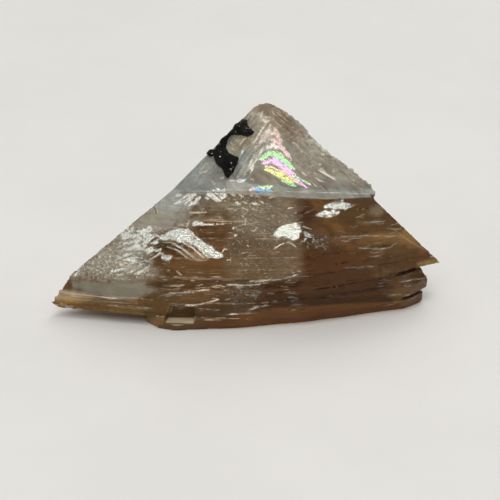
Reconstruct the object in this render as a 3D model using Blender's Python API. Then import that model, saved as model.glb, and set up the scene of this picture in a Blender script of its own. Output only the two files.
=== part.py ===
"""A natural barite crystal, 55 mm wide, with a crust of black mineral on its left shoulder.

The crystal is one solid, built the way barite splits: flat plates lie one on another up to a broad shelf,
each with its own worn outline, and a glassy crown stands on the shelf. A Boolean union joins the plates and
the crown. The crown's ragged edge, a notch and the shell-shaped hollows are then cut from the whole.

Frame: +Z up, +X along the width, the front is -Y, and the origin is the middle of the base.
Lengths are written in millimetres and turned into metres as meshes are made.
"""

import math
import random

import bmesh
import bpy
from mathutils import Euler, Vector, noise
from mathutils.bvhtree import BVHTree
from mathutils.geometry import delaunay_2d_cdt

MM = 0.001

# Driving heights, in millimetres.
FOOT = 0.0
BASE_TOP = 1.5  # top of the bottom plate; the left wing overhangs it
WING_TOP = 3.7  # top of the plate that ends in the left tip
WING_GROOVE = 2.3  # top of the groove round the right end of the left wing's plate
WAIST_GROOVE = 5.0  # foot of the groove under the right tip
RIGHT_WING = 5.7  # underside of the right tip
SHELF = 18.3  # the broad shelf that the crown stands on
PLATE_OVERLAP = 0.06  # each plate reaches this far into the next, so that the union is clean

# The crystal's outline from above, at the heights where its form changes. The twelve stations run from the
# left tip along the front to the right tip, and back along the rear.
LEFT_TIP, RIGHT_TIP = 0, 6
RIGHT_END = (5, 6, 7)  # the stations round the slab's right end
WING_GROOVE_DEPTH, WAIST_GROOVE_DEPTH = 1.0, 0.7
OUTLINE_FOOT = (
    (-14.1, -6.6), (-12.3, -8.7), (-10.1, -9.5), (-1.0, -8.6), (8.9, -6.5), (22.5, -2.3),
    (24.9, -0.1), (24.0, 3.4), (17.0, 6.8), (3.0, 9.2), (-9.0, 7.0), (-13.8, 0.5),
)  # fmt: skip
OUTLINE_BASE_TOP = (
    (-14.3, -6.5), (-12.5, -8.7), (-10.2, -9.6), (-1.0, -9.1), (8.9, -7.0), (22.6, -2.7),
    (25.2, -0.1), (24.2, 3.6), (17.2, 7.0), (3.0, 9.5), (-9.2, 7.2), (-14.1, 0.5),
)  # fmt: skip
OUTLINE_WING = (
    (-27.6, -4.8), (-20.5, -6.3), (-12.0, -8.1), (-1.0, -8.9), (8.9, -7.3), (22.8, -3.0),
    (25.5, 0.0), (24.3, 3.8), (17.2, 7.2), (3.0, 9.5), (-10.0, 7.2), (-20.0, 1.6),
)  # fmt: skip
OUTLINE_WING_TOP = (
    (-26.6, -4.3), (-20.5, -6.0), (-12.0, -7.8), (-1.0, -8.9), (8.9, -7.4), (22.8, -3.0),
    (25.8, 0.1), (24.3, 4.0), (17.0, 7.4), (3.0, 9.6), (-10.0, 7.2), (-19.6, 1.8),
)  # fmt: skip
OUTLINE_WAIST = (
    (-26.2, -3.9), (-20.0, -5.8), (-11.6, -7.8), (-1.0, -8.7), (9.0, -7.1), (22.0, -2.8),
    (25.5, 0.2), (23.8, 4.2), (16.4, 7.5), (3.0, 9.4), (-9.6, 7.0), (-19.0, 1.9),
)  # fmt: skip
OUTLINE_WAIST_TOP = (
    (-25.1, -3.7), (-18.4, -5.8), (-10.8, -7.9), (-1.0, -8.5), (9.0, -7.0), (21.4, -2.4),
    (24.5, 0.4), (23.0, 4.4), (15.6, 7.5), (3.0, 9.3), (-9.2, 6.9), (-18.4, 2.0),
)  # fmt: skip
OUTLINE_BODY = (
    (-25.1, -3.7), (-18.0, -5.9), (-10.4, -8.0), (-1.0, -8.3), (9.0, -7.0), (20.0, -2.7),
    (27.6, 0.9), (22.6, 4.9), (15.0, 7.7), (3.0, 9.2), (-9.0, 6.9), (-18.0, 2.0),
)  # fmt: skip
OUTLINE_SHELF = (
    (-10.3, -1.7), (-9.6, -2.3), (-8.7, -2.7), (-0.5, -3.1), (7.4, -4.6), (13.3, -4.8),
    (17.5, -4.4), (15.4, -0.2), (10.4, 4.2), (2.0, 6.2), (-5.0, 4.2), (-9.0, 1.0),
)  # fmt: skip

# Where the body splits into plates between the right wing and the shelf, and how far each plate's front
# stands out at the five front stations. A plate that stands out less than the one under it leaves a ledge.
BODY_PLATES = (
    (5.7, 7.1, (0.0, 0.1, 0.22, 0.1, 0.1)),
    (7.1, 8.3, (0.1, -0.1, -0.1, 0.0, 0.05)),
    (8.3, 9.8, (0.0, 0.2, 0.0, 0.05, 0.12)),
    (9.8, 11.1, (0.0, 0.1, 0.0, 0.0, -0.05)),
    (11.1, 12.4, (0.1, 0.25, 0.1, 0.05, 0.08)),
    (12.4, 14.6, (-0.1, 0.0, 0.1, 0.0, -0.08)),
    (14.6, 16.2, (0.1, 0.15, -0.1, 0.05, 0.05)),
    (16.2, 18.3, (0.0, 0.0, 0.0, 0.0, 0.0)),
)
PLATE_SEED, EDGE_SEED, CRUST_SEED = 7, 4, 5
WEAR_SPACING = 2.2  # distance between the points of a worn edge
WEAR_FRONT, WEAR_END, WEAR_REAR = 0.10, 0.30, 0.28  # how far wear moves a point out or in
WEAR_SLIDE = 0.25  # how far it slides a point along, as a share of the distance between points

# The crown's corners. Its left side face runs between the ridge and the rear of the left edge.
CROWN_FOOT_DEPTH = 0.3  # how far the crown reaches into the shelf
CROWN_CORNERS = (
    (1.3, 3.2, 29.0), (2.8, 2.8, 29.75), (4.0, 2.0, 29.5), (6.2, 1.3, 28.5), (8.0, 0.6, 26.9),
    (9.3, 0.0, 25.4), (14.7, -2.2, 21.9), (17.6, -3.3, 20.0), (18.2, -3.4, 18.9),
    (-0.1, 3.5, 27.0), (-5.7, 2.4, 21.7), (-10.0, -1.4, 18.5),
    (2.9, 0.0, 25.4), (0.7, -1.5, 21.1), (-2.2, -1.7, 19.2),
)  # fmt: skip
CROWN_FOOT = (
    (-8.4, -1.7), (-2.6, -1.8), (1.9, -1.4), (7.4, -1.8), (13.3, -2.9), (18.2, -3.5), (15.2, -0.3),
    (10.2, 3.9), (2.0, 5.9), (-4.8, 3.9), (-8.8, 0.9),
)  # fmt: skip
SHOULDER_CORNERS = (
    (-10.2, -1.7, 18.4), (-8.7, -2.6, 18.2), (-2.9, -2.6, 18.2), (-3.1, -1.5, 20.7), (-5.8, 1.9, 21.6),
    (-4.2, 2.6, 22.4), (-3.0, 1.0, 22.0), (-3.0, 1.0, 18.2), (-8.0, 1.0, 18.2),
)  # fmt: skip

# The ragged break along the crown's right edge, from its upper end to its lower end. Places are (across,
# up) as seen from BREAK_TILT above the front. The break runs straight back from there, down to the rear.
BREAK_TILT = math.radians(25)
BREAK_EDGE = (
    (6.2, 26.4), (7.2, 25.8), (8.0, 24.7), (9.3, 23.0), (10.3, 22.2), (11.5, 20.9), (13.2, 19.7),
    (14.2, 19.3), (15.7, 17.9), (17.7, 16.7), (18.0, 15.9), (18.4, 14.9),
)  # fmt: skip
BREAK_FRONT, BREAK_REAR = -8.0, 10.0  # where the break's cutter ends in front and behind, in Y
BREAK_OUT = 5.0  # how far it reaches past the edge
SCALLOP_SPACING = 0.45
SCALLOP_DEPTH = 0.15
SCALLOP_SLIDE = 0.3  # how far a scallop's corner slides along, as a share of the spacing
CHIP_SPACING = 1.2
CHIP_SIZE = (0.7, 1.3)  # smallest and largest side
CHIP_OUT = (0.1, 0.35)  # how far a chip's middle lies outside the edge
CHIP_ALONG = (0.2, 0.8)  # where it lies in its stretch of the edge, as a share
CHIP_DEPTH = 0.6  # how far it lies before or behind the edge
EDGE_HEAD_X, EDGE_SLANT = 9.3, -0.39  # the edge's X where its Y is 0, and its Y for each millimetre of X

# Shell-shaped hollows where flakes sprang off. Each has the middle and the three radii of a ball that cuts
# it, then its lean about X, which follows the face, and its turn about Y, both in degrees.
FRONT_LEAN, REAR_LEAN = -24, 14
BALL_FINENESS = 3
HOLLOWS = (
    ((-8.3, -6.9, 11.6), (4.8, 1.5, 2.1), FRONT_LEAN, 20),
    ((-17.4, -5.6, 8.9), (3.4, 1.1, 1.3), FRONT_LEAN, 8),
    ((5.6, -6.9, 12.7), (2.5, 1.1, 1.5), FRONT_LEAN, -12),
    ((10.6, -7.1, 10.6), (2.6, 1.2, 1.8), FRONT_LEAN, 20),
    ((12.6, -6.0, 16.2), (2.8, 0.9, 0.8), FRONT_LEAN, 6),
    ((-13.4, -3.2, 16.0), (0.5, 1.3, 1.4), 0, -32),
    ((6.0, 9.5, 10.4), (6.4, 1.7, 3.4), REAR_LEAN, -20),
    ((-9.5, 7.2, 7.6), (4.4, 1.5, 2.4), REAR_LEAN, 25),
    ((15.0, 7.2, 10.5), (3.2, 1.4, 1.9), REAR_LEAN, 40),
)

# A notch in the front of the slab near its left end, where a corner of two plates cleaved off: its outline
# from above at its floor and at its roof.
NOTCH_FLOOR, NOTCH_ROOF = 0.9, 3.2
NOTCH_FLOOR_OUTLINE = ((-12.2, -11.0), (-7.5, -11.0), (-7.3, -7.2), (-11.2, -7.2))
NOTCH_ROOF_OUTLINE = ((-11.4, -11.0), (-7.3, -11.0), (-7.1, -7.4), (-10.6, -7.4))

# The black crust's outline from the front, in X and Z, on the face it grew on.
CRUST_OUTLINE = (
    (0.6, 26.6), (0.9, 25.9), (1.5, 25.6), (1.0, 25.1), (0.6, 24.8), (-0.5, 24.8), (-1.4, 24.5),
    (-1.9, 24.0), (-2.2, 23.0), (-1.9, 22.5), (-0.8, 22.3), (-1.1, 21.7), (-1.8, 20.6), (-2.5, 19.8),
    (-2.9, 20.6),
    (-3.5, 20.9), (-3.7, 21.8), (-4.2, 21.4), (-4.7, 21.8), (-4.3, 22.2), (-3.5, 22.3), (-2.9, 23.2),
    (-1.8, 24.4), (-1.2, 25.1), (-0.2, 26.2), (0.2, 26.6),
)  # fmt: skip
CRUST_FACE_POINT = (-0.1, 3.5, 27.0)
CRUST_FACE_NORMAL = (-0.44, -0.66, 0.61)
CRUST_GAP = 0.3  # between the crust and the crystal, which are separate meshes
CRUST_EDGE = 0.25  # thickness at the outline
CRUST_THICKNESS = 0.6  # mean thickness inside it
CRUST_LUMP = 0.6  # how much lumps add or take
CRUST_LUMP_PITCH = 1.7  # lumps to a millimetre, roughly
CRUST_GRID = 0.42  # distance between its points
CRUST_JITTER = 0.12  # how far a point strays from the grid
CRUST_REACH = 10.0  # how far out the search for the crystal's face starts


def material(name, colour, roughness, transmission=0.0):
    """A Principled BSDF of one colour."""
    made = bpy.data.materials.new(name)
    made.use_nodes = True
    shader = made.node_tree.nodes["Principled BSDF"]
    shader.inputs["Base Color"].default_value = (*colour, 1.0)
    shader.inputs["Roughness"].default_value = roughness
    shader.inputs["Transmission Weight"].default_value = transmission
    return made


def add_object(name, mesh_data, finish=None):
    """Puts a bmesh into the scene as an object and frees it."""
    bmesh.ops.recalc_face_normals(mesh_data, faces=mesh_data.faces)
    mesh = bpy.data.meshes.new(name)
    mesh_data.to_mesh(mesh)
    mesh_data.free()
    obj = bpy.data.objects.new(name, mesh)
    bpy.context.scene.collection.objects.link(obj)
    if finish:
        mesh.materials.append(finish)
    return obj


def in_metres(point):
    return Vector(point) * MM


def prism(name, low, low_outline, high, high_outline):
    """A closed solid between two outlines with the same number of points."""
    mesh_data = bmesh.new()
    rings = [
        [mesh_data.verts.new(in_metres((x, y, z))) for x, y in outline]
        for z, outline in ((low, low_outline), (high, high_outline))
    ]
    mesh_data.faces.new(reversed(rings[0]))
    mesh_data.faces.new(rings[1])
    for i, (a, b) in enumerate(zip(*rings)):
        j = (i + 1) % len(rings[0])
        mesh_data.faces.new((a, rings[0][j], rings[1][j], b))
    return add_object(name, mesh_data)


def hull(name, corners):
    """The convex solid around the corners."""
    mesh_data = bmesh.new()
    for corner in corners:
        mesh_data.verts.new(in_metres(corner))
    made = bmesh.ops.convex_hull(mesh_data, input=mesh_data.verts)
    bmesh.ops.delete(mesh_data, geom=made["geom_interior"], context="VERTS")
    return add_object(name, mesh_data)


def between(outline_a, outline_b, share):
    """The outline that lies a share of the way from one outline to another."""
    return [tuple(Vector(a).lerp(Vector(b), share)) for a, b in zip(outline_a, outline_b)]


def stepped(outline, steps):
    """The outline with its front stations moved out by steps."""
    moved = list(outline)
    for station, step in enumerate(steps, start=LEFT_TIP + 1):
        x, y = moved[station]
        moved[station] = (x, y - step)
    return moved


def pulled_in(outline, depth):
    """The outline with its right end moved in."""
    return [(x - depth, y) if station in RIGHT_END else (x, y) for station, (x, y) in enumerate(outline)]


def worn(outline_low, outline_high, dice):
    """Both outlines of a plate with extra points along each side, moved in or out together by wear."""
    low, high = [], []
    count = len(outline_low)
    for station in range(count):
        after = (station + 1) % count
        if station < RIGHT_TIP - 1:
            wear = WEAR_FRONT
        elif station <= RIGHT_TIP:
            wear = WEAR_END
        else:
            wear = WEAR_REAR
        start, end = Vector(outline_low[station]), Vector(outline_low[after])
        start_high, end_high = Vector(outline_high[station]), Vector(outline_high[after])
        pieces = max(1, round((end - start).length / WEAR_SPACING))
        outwards = Vector((end.y - start.y, start.x - end.x)).normalized()
        for piece in range(pieces):
            share = (piece + dice.uniform(-WEAR_SLIDE, WEAR_SLIDE)) / pieces if piece else 0.0
            move = outwards * dice.uniform(-wear, wear) if piece else Vector((0.0, 0.0))
            low.append(tuple(start.lerp(end, share) + move))
            high.append(tuple(start_high.lerp(end_high, share) + move))
    return low, high


def plates():
    """The plates from the foot to the shelf."""
    dice = random.Random(PLATE_SEED)
    wing_share = (WING_GROOVE - BASE_TOP) / (WING_TOP - BASE_TOP)
    waist_share = (WAIST_GROOVE - WING_TOP) / (RIGHT_WING - WING_TOP)
    wing_middle = between(OUTLINE_WING, OUTLINE_WING_TOP, wing_share)
    waist_middle = between(OUTLINE_WAIST, OUTLINE_WAIST_TOP, waist_share)
    wing_groove = [pulled_in(outline, WING_GROOVE_DEPTH) for outline in (OUTLINE_WING, wing_middle)]
    waist_groove = [pulled_in(outline, WAIST_GROOVE_DEPTH) for outline in (waist_middle, OUTLINE_WAIST_TOP)]
    stack = [
        (FOOT, BASE_TOP, OUTLINE_FOOT, OUTLINE_BASE_TOP),
        (BASE_TOP, WING_GROOVE, *wing_groove),
        (WING_GROOVE, WING_TOP, wing_middle, OUTLINE_WING_TOP),
        (WING_TOP, WAIST_GROOVE, OUTLINE_WAIST, waist_middle),
        (WAIST_GROOVE, RIGHT_WING, *waist_groove),
    ]
    for low, high, steps in BODY_PLATES:
        shares = [(z - RIGHT_WING) / (SHELF - RIGHT_WING) for z in (low, high)]
        outlines = [stepped(between(OUTLINE_BODY, OUTLINE_SHELF, share), steps) for share in shares]
        stack.append((low, high, *outlines))
    made = []
    for number, (low, high, outline_low, outline_high) in enumerate(stack):
        worn_low, worn_high = worn(outline_low, outline_high, dice)
        top = high if high == SHELF else high + PLATE_OVERLAP
        made.append(prism(f"plate_{number}", low, worn_low, top, worn_high))
    return made


def crown():
    """The crown and the shoulder at its left foot."""
    foot = [(x, y, SHELF - CROWN_FOOT_DEPTH) for x, y in CROWN_FOOT]
    return [hull("crown", [*CROWN_CORNERS, *foot]), hull("shoulder", SHOULDER_CORNERS)]


def seen(across, up, y):
    """The point at this Y whose place, seen from BREAK_TILT above the front, is (across, up)."""
    return in_metres((across, y, (up - y * math.sin(BREAK_TILT)) / math.cos(BREAK_TILT)))


def scalloped_edge(dice):
    """The break's edge with small scallops along it."""
    edge = []
    for start, end in zip(BREAK_EDGE, BREAK_EDGE[1:]):
        start, end = Vector(start), Vector(end)
        inwards = Vector(((end - start).y, (start - end).x)).normalized()
        pieces = max(1, round((end - start).length / SCALLOP_SPACING))
        for piece in range(pieces):
            share = (piece + dice.uniform(-SCALLOP_SLIDE, SCALLOP_SLIDE)) / pieces if piece else 0.0
            edge.append(start.lerp(end, share) + inwards * dice.uniform(-SCALLOP_DEPTH, SCALLOP_DEPTH))
    return [*edge, Vector(BREAK_EDGE[-1])]


def edge_break(dice):
    """The cutter that breaks the crown's right edge off along a ragged line."""
    edge = scalloped_edge(dice)
    left, right = edge[0].x, edge[-1].x + BREAK_OUT
    top, bottom = edge[0].y + BREAK_OUT, edge[-1].y
    ring = [*edge, Vector((right, bottom)), Vector((right, top)), Vector((left, top))]
    mesh_data = bmesh.new()
    front = [mesh_data.verts.new(seen(place.x, place.y, BREAK_FRONT)) for place in ring]
    rear = [mesh_data.verts.new(seen(place.x, place.y, BREAK_REAR)) for place in ring]
    mesh_data.faces.new(front)
    mesh_data.faces.new(reversed(rear))
    for i in range(len(ring)):
        j = (i + 1) % len(ring)
        mesh_data.faces.new((front[i], rear[i], rear[j], front[j]))
    return add_object("edge_break", mesh_data)


def chips(dice):
    """Small turned blocks that chip the broken edge."""
    made = []
    for start, end in zip(BREAK_EDGE[1:], BREAK_EDGE[2:]):
        start, end = Vector(start), Vector(end)
        outwards = Vector(((start - end).y, (end - start).x)).normalized()
        pieces = max(1, round((end - start).length / CHIP_SPACING))
        for piece in range(pieces):
            side = dice.uniform(*CHIP_SIZE)
            middle = start.lerp(end, (piece + dice.uniform(*CHIP_ALONG)) / pieces)
            middle += outwards * dice.uniform(*CHIP_OUT)
            y = EDGE_SLANT * (middle.x - EDGE_HEAD_X) + dice.uniform(-CHIP_DEPTH, CHIP_DEPTH)
            mesh_data = bmesh.new()
            bmesh.ops.create_cube(mesh_data, size=side * MM)
            turn = Euler([dice.uniform(0, math.pi) for _ in range(3)]).to_matrix()
            bmesh.ops.rotate(mesh_data, cent=(0, 0, 0), matrix=turn, verts=mesh_data.verts)
            bmesh.ops.translate(mesh_data, vec=seen(middle.x, middle.y, y), verts=mesh_data.verts)
            made.append(add_object("chip", mesh_data))
    return made


def hollows():
    """Flattened balls that cut the shell-shaped hollows."""
    made = []
    for middle, radii, lean, turn in HOLLOWS:
        mesh_data = bmesh.new()
        bmesh.ops.create_icosphere(mesh_data, subdivisions=BALL_FINENESS, radius=1.0)
        bmesh.ops.scale(mesh_data, vec=in_metres(radii), verts=mesh_data.verts)
        turned = Euler((math.radians(lean), math.radians(turn), 0.0), "YXZ").to_matrix()
        bmesh.ops.rotate(mesh_data, cent=(0, 0, 0), matrix=turned, verts=mesh_data.verts)
        bmesh.ops.translate(mesh_data, vec=in_metres(middle), verts=mesh_data.verts)
        made.append(add_object("hollow", mesh_data))
    return made


def notch():
    """The block that cuts the notch."""
    return prism("notch", NOTCH_FLOOR, NOTCH_FLOOR_OUTLINE, NOTCH_ROOF, NOTCH_ROOF_OUTLINE)


def set_aside(name, objects):
    """Moves helpers to a collection for a Boolean, out of the render."""
    group = bpy.data.collections.new(name)
    bpy.context.scene.collection.children.link(group)
    for obj in objects:
        bpy.context.scene.collection.objects.unlink(obj)
        group.objects.link(obj)
        obj.hide_render = True
        obj.display_type = "WIRE"
    return group


def combine(obj, operation, group):
    """Adds a Boolean of the object with all that a collection holds."""
    modifier = obj.modifiers.new(operation.lower(), "BOOLEAN")
    modifier.operation = operation
    modifier.operand_type = "COLLECTION"
    modifier.collection = group
    modifier.solver = "EXACT"


def build_crystal(finish):
    """The whole crystal as one object."""
    first, *others = plates()
    first.name = "barite_crystal"
    first.data.materials.append(finish)
    combine(first, "UNION", set_aside("grown_together", [*others, *crown()]))
    dice = random.Random(EDGE_SEED)
    broken_off = [edge_break(dice), *chips(dice), *hollows(), notch()]
    combine(first, "DIFFERENCE", set_aside("broken_off", broken_off))
    return first


def crust_points():
    """The outline's points and a scattered grid inside it, with the triangles that join them."""
    dice = random.Random(CRUST_SEED)
    points = [Vector(point) for point in CRUST_OUTLINE]
    rim = [(i, (i + 1) % len(points)) for i in range(len(points))]
    low_x, high_x = min(p.x for p in points), max(p.x for p in points)
    low_z, high_z = min(p.y for p in points), max(p.y for p in points)
    for row in range(int((high_z - low_z) / CRUST_GRID)):
        for column in range(int((high_x - low_x) / CRUST_GRID)):
            spot = Vector((low_x + (column + 0.5) * CRUST_GRID, low_z + (row + 0.5) * CRUST_GRID))
            stray = Vector([dice.uniform(-CRUST_JITTER, CRUST_JITTER) for _ in range(2)])
            points.append(spot + stray)
    spots, _, triangles, sources, _, _ = delaunay_2d_cdt(points, rim, [], 1, 0.001)
    on_rim = [any(source < len(rim) for source in came_from) for came_from in sources]
    return spots, triangles, on_rim


def build_crust(crystal, finish):
    """A lumpy black crust laid over the crown's left face, a gap above the crystal."""
    surface = BVHTree.FromObject(crystal, bpy.context.evaluated_depsgraph_get())
    outwards = Vector(CRUST_FACE_NORMAL).normalized()
    anchor = Vector(CRUST_FACE_POINT)
    spots, triangles, on_rim = crust_points()
    mesh_data = bmesh.new()
    under, over = {}, {}
    for index in sorted({corner for triangle in triangles for corner in triangle}):
        spot, rim = spots[index], on_rim[index]
        y = anchor.y - (outwards.x * (spot.x - anchor.x) + outwards.z * (spot.y - anchor.z)) / outwards.y
        start = in_metres((spot.x, y, spot.y))
        hit = surface.ray_cast(start + outwards * CRUST_REACH * MM, -outwards, 2 * CRUST_REACH * MM)[0]
        if hit is None:
            hit = surface.find_nearest(start)[0]
        lump = CRUST_LUMP * noise.noise((spot.x * CRUST_LUMP_PITCH, spot.y * CRUST_LUMP_PITCH, CRUST_SEED))
        thickness = CRUST_EDGE if rim else CRUST_THICKNESS + lump
        under[index] = mesh_data.verts.new(hit + outwards * CRUST_GAP * MM)
        over[index] = mesh_data.verts.new(hit + outwards * (CRUST_GAP + thickness) * MM)
    edge_uses = {}
    for a, b, c in triangles:
        mesh_data.faces.new((over[a], over[b], over[c]))
        mesh_data.faces.new((under[c], under[b], under[a]))
        for pair in ((a, b), (b, c), (c, a)):
            edge_uses.setdefault(frozenset(pair), []).append(pair)
    for uses in edge_uses.values():
        if len(uses) == 1:
            a, b = uses[0]
            mesh_data.faces.new((over[b], over[a], under[a], under[b]))
    return add_object("black_mineral_crust", mesh_data, finish)


def main():
    for obj in list(bpy.data.objects):
        bpy.data.objects.remove(obj)
    crystal = build_crystal(material("smoky_barite", (0.33, 0.24, 0.15), 0.12, transmission=0.4))
    build_crust(crystal, material("black_mineral", (0.012, 0.011, 0.013), 0.28))


main()
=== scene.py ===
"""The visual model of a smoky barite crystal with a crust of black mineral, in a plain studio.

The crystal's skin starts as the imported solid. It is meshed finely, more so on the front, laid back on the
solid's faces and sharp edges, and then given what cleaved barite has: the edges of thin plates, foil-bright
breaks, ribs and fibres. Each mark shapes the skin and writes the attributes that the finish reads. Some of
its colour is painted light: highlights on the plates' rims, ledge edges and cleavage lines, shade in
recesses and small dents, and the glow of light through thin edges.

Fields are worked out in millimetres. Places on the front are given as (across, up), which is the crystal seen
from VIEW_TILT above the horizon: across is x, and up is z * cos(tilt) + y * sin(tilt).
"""

import logging
import math
from collections.abc import Iterator
from contextlib import contextmanager
from dataclasses import dataclass
from enum import Enum
from functools import reduce
from typing import ClassVar

import bmesh
import bpy
import numpy as np
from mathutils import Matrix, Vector
from mathutils.bvhtree import BVHTree
from mathutils.kdtree import KDTree


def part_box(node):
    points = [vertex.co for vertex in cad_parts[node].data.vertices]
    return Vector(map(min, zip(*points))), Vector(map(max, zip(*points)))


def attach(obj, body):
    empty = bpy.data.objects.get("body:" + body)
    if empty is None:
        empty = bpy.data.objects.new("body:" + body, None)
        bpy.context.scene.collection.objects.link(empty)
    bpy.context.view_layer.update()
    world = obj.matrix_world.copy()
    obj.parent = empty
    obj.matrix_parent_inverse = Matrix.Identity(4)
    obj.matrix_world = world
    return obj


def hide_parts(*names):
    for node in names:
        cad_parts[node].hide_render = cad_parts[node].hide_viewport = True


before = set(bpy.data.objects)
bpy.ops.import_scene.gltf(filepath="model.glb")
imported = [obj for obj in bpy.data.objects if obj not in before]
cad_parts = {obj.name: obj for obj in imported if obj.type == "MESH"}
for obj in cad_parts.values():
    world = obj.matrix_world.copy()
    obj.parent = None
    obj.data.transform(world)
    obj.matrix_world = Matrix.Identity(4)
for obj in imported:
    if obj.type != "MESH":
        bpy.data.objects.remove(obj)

log = logging.getLogger("barite")

Array = np.ndarray
Socket = bpy.types.NodeSocket
Place = tuple[float, float]
Span = tuple[float, float]
Triple = tuple[float, float, float]
Colour = Triple
Outline = tuple[Place, ...]

MM = 0.001
VIEW_TILT = math.radians(25)
WELD = 0.001 * MM

# The display curve: where its straight toe ends, what divides the toe, and the offset and power above it.
TOE_END = 10
TOE = 12.92
OFFSET = 0.055
POWER = 2.4
# The light that gloss adds to a pigment, how much of its colour the glass swallows, and the pigments' limits.
VEIL = 0.012
GAIN = 2.2
DARKEST = 0.002
PALEST = 0.95


def linear(red: int, green: int, blue: int) -> Colour:
    """Turns a display colour of 0 to 255 into linear light."""
    shares = (level / 255 for level in (red, green, blue))
    return tuple(((s + OFFSET) / (1 + OFFSET)) ** POWER if s > TOE_END / 255 else s / TOE for s in shares)


def pigment(red: int, green: int, blue: int, lift: float = 1.0) -> Colour:
    """Works out the base colour that shows as a display colour on the lit crystal.

    Args:
        red: 0 to 255.
        green: 0 to 255.
        blue: 0 to 255.
        lift: how much more than elsewhere the glass swallows where this colour lies.

    Returns:
        The base colour: what the gloss adds is taken off, and what the glass swallows is put back.
    """
    wanted = ((light - VEIL) * GAIN * lift for light in linear(red, green, blue))
    return tuple(min(max(light, DARKEST), PALEST) for light in wanted)


def ramp(low: float, high: float, values: Array) -> Array:
    """Smooth step from 0 at low to 1 at high."""
    share = np.clip((values - low) / (high - low), 0.0, 1.0)
    return share * share * (3 - 2 * share)


class Tone(Enum):
    """The colours of the crystal's growth zones, with painted shade and the painted glow of light through
    thin edges among them.
    """

    BROWN = pigment(100, 75, 51)
    UMBER = pigment(70, 43, 17, 0.85)
    CHESTNUT = pigment(98, 69, 41, 1.1)
    OLIVE = pigment(125, 114, 96, 1.1)
    FAWN = pigment(107, 89, 68, 0.87)
    AMBER = pigment(146, 110, 66, 1.3)
    GOLD = pigment(160, 147, 120)
    RUST = pigment(150, 62, 36, 1.2)
    GREY = pigment(150, 145, 131, 0.95)
    STONE = pigment(138, 133, 120, 1.15)
    SLATE = pigment(122, 120, 108, 0.95)
    MIST = pigment(152, 154, 148, 1.1)
    HONEY = pigment(158, 126, 80, 1.35)
    PLATE = pigment(98, 73, 44, 1.1)
    SLAB = pigment(62, 38, 14, 0.85)
    BEVEL = pigment(94, 62, 40, 1.6)
    # Painted shade, laid where shade falls: between the ribs of a break, low on the body, under the right
    # wing and in small dents.
    SHADE = pigment(74, 53, 34)
    CREAM = pigment(176, 162, 132, 0.65)
    ICE = pigment(136, 141, 137, 0.9)
    GLASS = pigment(149, 143, 130, 1.1)
    TAUPE = pigment(148, 132, 112, 0.78)
    SHELF = pigment(158, 162, 155, 1.0)


class Noise:
    """Smooth seeded noise over points in space, whose pattern repeats after CELLS cells."""

    CELLS: ClassVar[int] = 256
    REACH: ClassVar[float] = 1.6
    LAYER_SHIFT: ClassVar[float] = 7.3
    LAYERED_REACH: ClassVar[float] = 1.5

    def __init__(self, seed: int) -> None:
        """Draws the lattice of slopes.

        Args:
            seed: fixes the pattern.
        """
        dice = np.random.default_rng(seed)
        self.order = np.tile(dice.permutation(self.CELLS), 2)
        slopes = dice.normal(size=(self.CELLS, 3))
        self.slopes = slopes / np.linalg.norm(slopes, axis=1, keepdims=True)

    def at(self, points: Array, size: float | Triple) -> Array:
        """Reads one layer of noise.

        Args:
            points: n by 3, in millimetres.
            size: the pattern's size, alike or for each axis.

        Returns:
            n values of about -1 to 1.
        """
        spots = points / np.asarray(size)
        cell = np.floor(spots).astype(int)
        inside = spots - cell
        fade = inside**3 * (inside * (inside * 6 - 15) + 10)
        total = np.zeros(len(points))
        for corner in np.ndindex(2, 2, 2):
            x, y, z = ((cell + corner) % self.CELLS).T
            slope = self.slopes[self.order[self.order[self.order[x] + y] + z]]
            weight = np.prod(np.where(corner, fade, 1 - fade), axis=1)
            total += weight * np.einsum("ij,ij->i", slope, inside - corner)
        return total * self.REACH

    def layered(self, points: Array, size: float | Triple, octaves: int) -> Array:
        """Adds layers of noise, each half as large and half as strong.

        Args:
            points: n by 3, in millimetres.
            size: the largest layer's size.
            octaves: how many layers.

        Returns:
            n values of about -1 to 1.
        """
        shift, size = self.LAYER_SHIFT, np.asarray(size)
        layers = (self.at(points + shift * i, size / 2**i) / 2**i for i in range(octaves))
        return sum(layers) / self.LAYERED_REACH


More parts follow.
